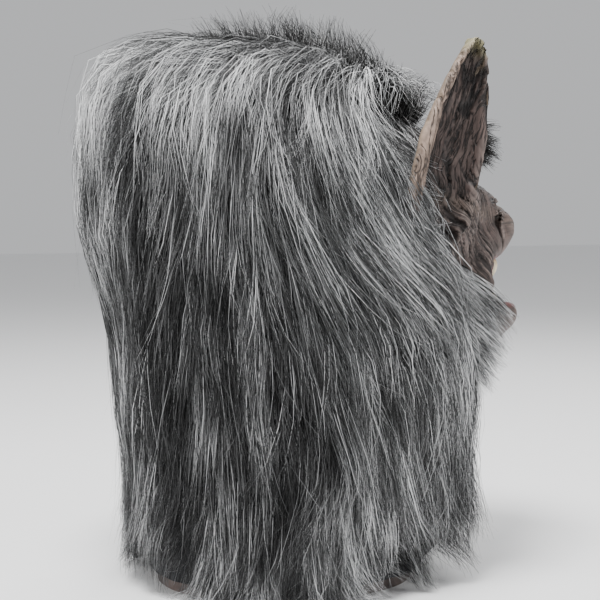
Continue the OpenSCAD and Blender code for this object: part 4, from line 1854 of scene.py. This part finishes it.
@dataclass(frozen=True)
class Arch:
    """The rounded plan that a gum and its teeth follow."""

    half: float
    reach: float
    rear_y: float = -104.4

    def at(self, turn: Array, inset: Array | float = 0.0) -> tuple[Array, Array]:
        """Return x and y of the arch at a turn in degrees, 0 at the front."""
        t = np.radians(turn)
        sine, cosine = np.sin(t), np.clip(np.cos(t), 0, 1)
        x = (self.half - inset) * np.sign(sine) * np.abs(sine) ** 0.85
        return x, self.rear_y - (self.reach - inset) * cosine**0.7

    def inside(self, x: Array, y: Array) -> Array:
        """Return roughly how far points lie outside the arch's plan."""
        ahead = np.maximum(self.rear_y - y, 0) / self.reach
        size = np.sqrt((np.abs(x) / self.half) ** 2.35 + ahead**2.86)
        return np.maximum((size - 1) * self.half * 0.8, y - self.rear_y)


class Mouth:
    """The gums with their teeth, and the tongue."""

    TURNS = (-78, -66, -55, -44, -31, -18, -8, 8, 18, 31, 44, 55, 66, 78)
    UPPER = Arch(37.5, 64.0)
    LOWER = Arch(38.5, 65.5)
    UPPER_RIDGE, LOWER_RIDGE = 224.5, 180.5
    UPPER_FANG, LOWER_FANG = 19.0, 15.5

    def __init__(self, seed: int = 31) -> None:
        """Start the mouth.

        Args:
            seed: Picks the small unevenness.
        """
        self.noise = Noise(seed)
        self.rng = np.random.default_rng(seed)
        self.gum = LatexFinish("latex_gum", 0.30, 0.55, (0.8, 1.15)).material()
        self.ivory = LatexFinish("latex_teeth", 0.36, 0.5, (0.85, 1.1)).material()
        self.flesh = LatexFinish("latex_tongue", 0.34, 0.5, (0.8, 1.15)).material()

    def build(self) -> None:
        """Make the parts and tie them to the head and the jaw."""
        rows = (
            ("upper", self.UPPER, self.UPPER_RIDGE, -1, Body.HEAD),
            ("lower", self.LOWER, self.LOWER_RIDGE, 1, Body.JAW),
        )
        for name, arch, ridge_z, up, body in rows:
            gum = self.gum_piece(f"{name}_gum_flesh", arch, ridge_z, -up)
            tie(gum, body, f"{name}_gum")
            teeth = self.teeth_piece(f"{name}_teeth_row", arch, ridge_z + 2.5 * up, up)
            tie(teeth, body, f"{name}_teeth")
        tie(self.tongue_piece(), Body.JAW, "tongue")

    def flesh_mesh(
        self, name: str, skin: SkinMesh, tone: Colour, material: bpy.types.Material
    ) -> bpy.types.Object:
        """Return a wet fleshy piece with darker hollows."""
        skin.points = skin.spread(skin.points, 1)
        bump = 0.45 * self.noise.at(*(skin.points.T / 5))
        skin.points = skin.points + skin.normals() * bump[:, None]
        dark = ramp(skin.hollows(4), 0.0, 0.5)[:, None]
        colours = mix(np.array(tone), np.array(tone) * 0.25, 0.8 * dark)
        colours = colours * (0.85 + 0.3 * self.noise.at(*(skin.points.T / 9)))[:, None]
        return MeshMaker.build(name, skin.points, [skin.faces], material, np.clip(colours, 0.004, 1))

    def gum_piece(self, name: str, arch: Arch, ridge_z: float, away: int) -> bpy.types.Object:
        """Return a gum ridge with the palate or floor of the mouth behind it.

        Args:
            name: Name of the piece.
            arch: Its plan.
            ridge_z: Height of the middle of the ridge.
            away: 1 if the palate lies above the ridge, -1 if below.
        """
        net = SurfaceNet(1.3, (-46, -176, ridge_z - 13), (46, -98, ridge_z + 15))
        x, y, z = net.axes()
        turn = np.linspace(-88, 88, 60)
        lx, ly = arch.at(turn, 4.5)
        flat = np.full((x.shape[0], y.shape[1], 1), 1e6)
        for px, py in zip(lx, ly):
            flat = np.minimum(flat, (x - px) ** 2 + (y - py) ** 2)
        scallop = 0.8 * np.cos(np.degrees(np.arctan2(x, arch.rear_y - y)) / 11 * math.pi)
        ridge = np.sqrt(flat + ((z - ridge_z) * 0.85) ** 2) - 4.9 - 0.5 * scallop
        plate_z = ridge_z + away * (2.5 + 5.0 * (1 - np.clip((x / arch.half) ** 2, 0, 1)) * (away > 0))
        fold = 0.6 * np.sin((y + 0.012 * x * x) / 1.6) * (away > 0)
        plate = np.maximum(np.abs(z - plate_z) - 2.2 - fold, arch.inside(x, y))
        skin = SkinMesh(*net.mesh(smooth_min(ridge, plate, 3.0)))
        return self.flesh_mesh(name, skin, (0.26, 0.055, 0.05), self.gum)

    def teeth_piece(self, name: str, arch: Arch, gum_z: float, up: int) -> bpy.types.Object:
        """Return a row of curved teeth.

        Args:
            name: Name of the piece.
            arch: Plan of its gum.
            gum_z: Height at which the teeth leave the gum.
            up: 1 for teeth that point up, -1 for teeth that point down.
        """
        rings, sides = 9, 12
        points, faces, tones = [], [], []
        for turn in self.TURNS:
            canine = abs(abs(turn) - 31) < 1
            fang = self.UPPER_FANG if up < 0 else self.LOWER_FANG
            long = fang if canine else mix(7.5, 9.5, abs(turn) / 78)
            wide = 3.9 if canine else mix(2.3, 3.3, abs(turn) / 78)
            x, y = (float(c) for c in arch.at(np.array(turn), 4.4))
            out = unit(np.array([x / arch.half, -0.7, 0.0]))
            lean = self.rng.uniform(-0.12, 0.12, 2)
            t = np.linspace(0, 1, rings)[:, None]
            radius = wide * (1 - t) ** 0.62 * (1 + 0.12 * np.sin(math.pi * np.minimum(t * 2, 1)))
            radius = np.maximum(radius, 0.12)
            turnings = np.linspace(0, 2 * math.pi, sides, endpoint=False)[None]
            curl = (0.22 if canine else 0.10) * long
            centre_x = x + lean[0] * long * t + out[0] * curl * np.sin(math.pi * t)
            centre_y = y + lean[1] * long * t + out[1] * curl * np.sin(math.pi * t)
            centre_z = gum_z + up * long * t
            ring = np.stack(
                [
                    centre_x + radius * np.cos(turnings),
                    centre_y + radius * np.sin(turnings) * 1.15,
                    centre_z + 0 * turnings,
                ],
                axis=-1,
            ).reshape(-1, 3)
            start = sum(len(p) for p in points)
            quads = MeshMaker.grid_faces(rings, sides, True, start)
            faces.append(quads if up > 0 else quads[:, ::-1])
            points.append(ring)
            age = np.repeat(ramp(t[:, 0], 0.0, 0.45), sides)[:, None]
            tones.append(mix(np.array([0.30, 0.17, 0.07]), np.array([0.72, 0.63, 0.44]), age))
        return MeshMaker.build(
            name, np.concatenate(points), faces, self.ivory, np.concatenate(tones)
        )

    def tongue_piece(self) -> bpy.types.Object:
        """Return the tongue, lying on the floor of the mouth with its tip raised."""
        net = SurfaceNet(1.3, (-24, -164, 170), (24, -98, 197))
        x, y, z = net.axes()
        lift = 5.0 * ramp(-y, 128, 158)
        body = Egg((0, -128, 183), (18.5, 33, 6.4), 2.4).distance(x, y, z - lift)
        groove = Limb((0, -158, 195), 2.0, (0, -104, 190), 3.0).distance(x, y, z)
        skin = SkinMesh(*net.mesh(smooth_max(body, -groove, 2.5)))
        return self.flesh_mesh("tongue_flesh", skin, (0.36, 0.10, 0.09), self.flesh)


# ---------------------------------------------------------------- studio


class Studio:
    """The plain pale floor, the soft lights and the camera."""

    AIM = Vector((-0.0064, -0.0117, 0.193))
    AZIMUTH = 245.0
    ELEVATION = 4.0
    DISTANCE = 1.0
    LENS = 85.7

    def build(self) -> None:
        """Set up the studio."""
        scene = bpy.context.scene
        world = scene.world or bpy.data.worlds.new("studio")
        scene.world = world
        world.use_nodes = True
        back = world.node_tree.nodes["Background"]
        back.inputs["Color"].default_value = (0.92, 0.93, 0.95, 1)
        back.inputs["Strength"].default_value = 0.62
        self.floor()
        self.lamp("key", 222, 68, 0.5, 1.5, 50)
        self.lamp("left", 150, 30, 0.7, 1.6, 8)
        self.lamp("right", 310, 30, 0.7, 1.6, 9)
        self.lamp("rim", 40, 45, 0.8, 1.7, 14)
        camera = bpy.data.objects.new("camera", bpy.data.cameras.new("camera"))
        scene.collection.objects.link(camera)
        camera.data.lens = self.LENS
        camera.data.sensor_width = 36
        camera.location = self.AIM + self.away(self.AZIMUTH, self.ELEVATION) * self.DISTANCE
        camera.rotation_euler = (self.AIM - camera.location).to_track_quat("-Z", "Y").to_euler()
        scene.camera = camera

    @staticmethod
    def away(azimuth: float, elevation: float) -> Vector:
        """Return the unit vector from the mask towards a viewpoint."""
        a, e = math.radians(azimuth), math.radians(elevation)
        return Vector((math.sin(a) * math.cos(e), -math.cos(a) * math.cos(e), math.sin(e)))

    def floor(self) -> None:
        """Lay a wide pale floor under the mask."""
        mesh = bpy.data.meshes.new("floor")
        r = 6.0
        mesh.from_pydata([(-r, -r, 0), (r, -r, 0), (r, r, 0), (-r, r, 0)], [], [(0, 1, 2, 3)])
        material = bpy.data.materials.new("floor")
        material.use_nodes = True
        surface = material.node_tree.nodes["Principled BSDF"]
        surface.inputs["Base Color"].default_value = (0.86, 0.86, 0.86, 1)
        surface.inputs["Roughness"].default_value = 0.7
        mesh.materials.append(material)
        plane = bpy.data.objects.new("floor", mesh)
        bpy.context.scene.collection.objects.link(plane)

    def lamp(
        self, name: str, azimuth: float, elevation: float, size: float, far: float, power: float
    ) -> None:
        """Hang one soft square light that looks at the mask.

        Args:
            name: Name of the light.
            azimuth: Bearing of the light, in the camera's terms.
            elevation: Degrees above the floor.
            size: Side of the square in metres.
            far: Distance from the mask in metres.
            power: Power in watts.
        """
        data = bpy.data.lights.new(name, "AREA")
        data.energy = power
        data.size = size
        light = bpy.data.objects.new(name, data)
        bpy.context.scene.collection.objects.link(light)
        light.location = self.AIM + self.away(azimuth, elevation) * far
        light.rotation_euler = (self.AIM - light.location).to_track_quat("-Z", "Y").to_euler()


# ---------------------------------------------------------------- the whole mask


class TuftPlaces:
    """The places on the sculpted skin where each tuft grows."""

    TEMPLE_Z, DOME_H = 240.0, 110.0

    def __init__(self, head: HeadForm) -> None:
        """Keep the head.

        Args:
            head: The plain form, which tells bare scalp from raised features.
        """
        self.head = head

    def level(self, p: Array) -> Array:
        """Return the level up the dome of points, from 1 to 2."""
        return 1 + np.arcsin(np.clip((p[:, 2] - self.TEMPLE_Z) / self.DOME_H, 0, 1)) * 2 / math.pi

    def bare(self, p: Array) -> Array:
        """Return which points are scalp and not ear or brow."""
        return self.head.distance(*p.T) < 6

    @staticmethod
    def brow(side: int) -> Callable[[Array, Array], Array]:
        """Return the test for a brow; side is -1 on the wearer's right."""

        def grows(p: Array, n: Array) -> Array:
            """Return which points are on the front of the brow ridge."""
            x = p[:, 0] * side
            ridge = 303 + 0.16 * (x - 10)
            near_ridge = (x > 9) & (x < 50) & (np.abs(p[:, 2] - ridge) < 6.5)
            return near_ridge & (p[:, 1] < -108) & (n[:, 1] < 0)

        return grows

    @staticmethod
    def jowl(side: int) -> Callable[[Array, Array], Array]:
        """Return the test for a jowl; side is -1 on the wearer's right."""

        def grows(p: Array, _: Array) -> Array:
            """Return which points are on the cheek behind the corner of the mouth."""
            slope = -112 + 0.25 * (216 - p[:, 2])
            high = (p[:, 2] > 166) & (p[:, 2] < 218)
            return (p[:, 0] * side > 34) & (p[:, 1] > slope) & (p[:, 1] < -72) & high

        return grows

    @staticmethod
    def chin(p: Array, n: Array) -> Array:
        """Return which points are under the chin."""
        under = (np.abs(p[:, 0]) < 30) & (p[:, 1] < -112) & (p[:, 1] > -152) & (p[:, 2] < 166)
        return under & (n[:, 2] < 0.1) & (p[:, 2] > 140)

    def whorl(self, p: Array, _: Array) -> Array:
        """Return which points are on the top of the crown."""
        return (p[:, 2] > 326) & (p[:, 1] > -66) & self.bare(p)

    def hairline(self, p: Array, _: Array) -> Array:
        """Return which points are on the forehead's hairline."""
        level = self.level(p)
        return (level > 1.46) & (level < 1.66) & (p[:, 1] < -42) & self.bare(p)

    def behind_ear(self, p: Array, _: Array) -> Array:
        """Return which points are between an ear and the side fur."""
        level = self.level(p)
        band = (level > 1.02) & (level < 1.68) & (p[:, 1] > -60) & (p[:, 1] < -14)
        return band & self.bare(p)


def plant_tufts(sculpt: LatexSculpt) -> None:
    """Plant the brows, forelock, beard and fringes on the sculpted skin.

    Args:
        sculpt: The finished casting.
    """
    # The last number of each look is the painted shade at the strand roots.
    black = StrandLook(0.008, 0.016, 0.05, (0.6, 0.3), 0.7, 0.12, (1, 0.97, 0.95), 0.6)
    sooty = StrandLook(0.010, 0.045, 0.22, (0.5, 0.35), 0.55, 0.12, (1, 0.99, 0.98), 0.5)
    grey = StrandLook(0.03, 0.22, 0.66, (0.3, 0.36), 0.42, 0.12)
    forward = Lay((0.3, -0.9, -0.35), 0.36, 0.9, 0.1)
    swept_back = Lay((0.5, 0.3, 0.6), 0.30, 0.8, 0.3)
    hanging = Lay((0.05, 0.5, -1.0), 0.14, 0.75, 0.3)
    upright = Lay((0.15, 0.25, 0.8), 0.22, 0.88, 0.5)
    falling = Lay((0.3, -0.2, -0.7), 0.24, 0.85, 0.3)
    swept_forward = Lay((0.15, -0.8, -0.65), 0.14, 0.85, 0.3)
    places = TuftPlaces(sculpt.form.head)
    sides = (("right", -1), ("left", 1))
    brows = [
        Tuft(
            f"{name}_brow_hair", f"{name}_brow_fur", Body.HEAD, Slot.DARK_FUR,
            1100, (14, 32), forward, black, places.brow(side),
        )
        for name, side in sides
    ]
    middle = [
        Tuft(
            "forelock_hair", "forelock", Body.HEAD, Slot.DARK_FUR,
            4600, (20, 38), swept_back, sooty, places.hairline,
        ),
        Tuft(
            "chin_hair", "chin_fur", Body.JAW, Slot.PALE_FUR,
            1900, (16, 32), hanging, grey, places.chin,
        ),
        Tuft(
            "crown_fur_tuft", "crown_fur", Body.HEAD, Slot.GREY_FUR,
            1700, (36, 56), upright, sooty, places.whorl,
        ),
        Tuft(
            "crown_fur_fringe", "crown_fur", Body.HEAD, Slot.GREY_FUR,
            3600, (30, 52), falling, grey, places.behind_ear,
        ),
    ]
    jowls = [
        Tuft(
            f"{name}_cheek_fur_sweep", f"{name}_cheek_fur", Body.HEAD, Slot.PALE_FUR,
            2200, (34, 62), swept_forward, grey, places.jowl(side),
        )
        for name, side in sides
    ]
    maker = TuftMaker(sculpt.skin.points, sculpt.normals, sculpt.skin.faces)
    finish = FurFinish("short_pile").material()
    for tuft in brows + middle + jowls:
        maker.plant(tuft, finish)


def main() -> None:
    """Build the mask and its studio."""
    logging.basicConfig(level=logging.INFO, format="%(name)s: %(message)s")
    head = HeadForm.from_frame()
    log.info("head form %s", head)
    sculpt = LatexSculpt(head)
    sculpt.bend(sculpt.pieces(step=1.65, ratio=0.34))
    Mouth().build()
    HoodPanels(HoodFur(head)).build(count=66000)
    plant_tufts(sculpt)
    Studio().build()


if __name__ == "__main__":
    main()
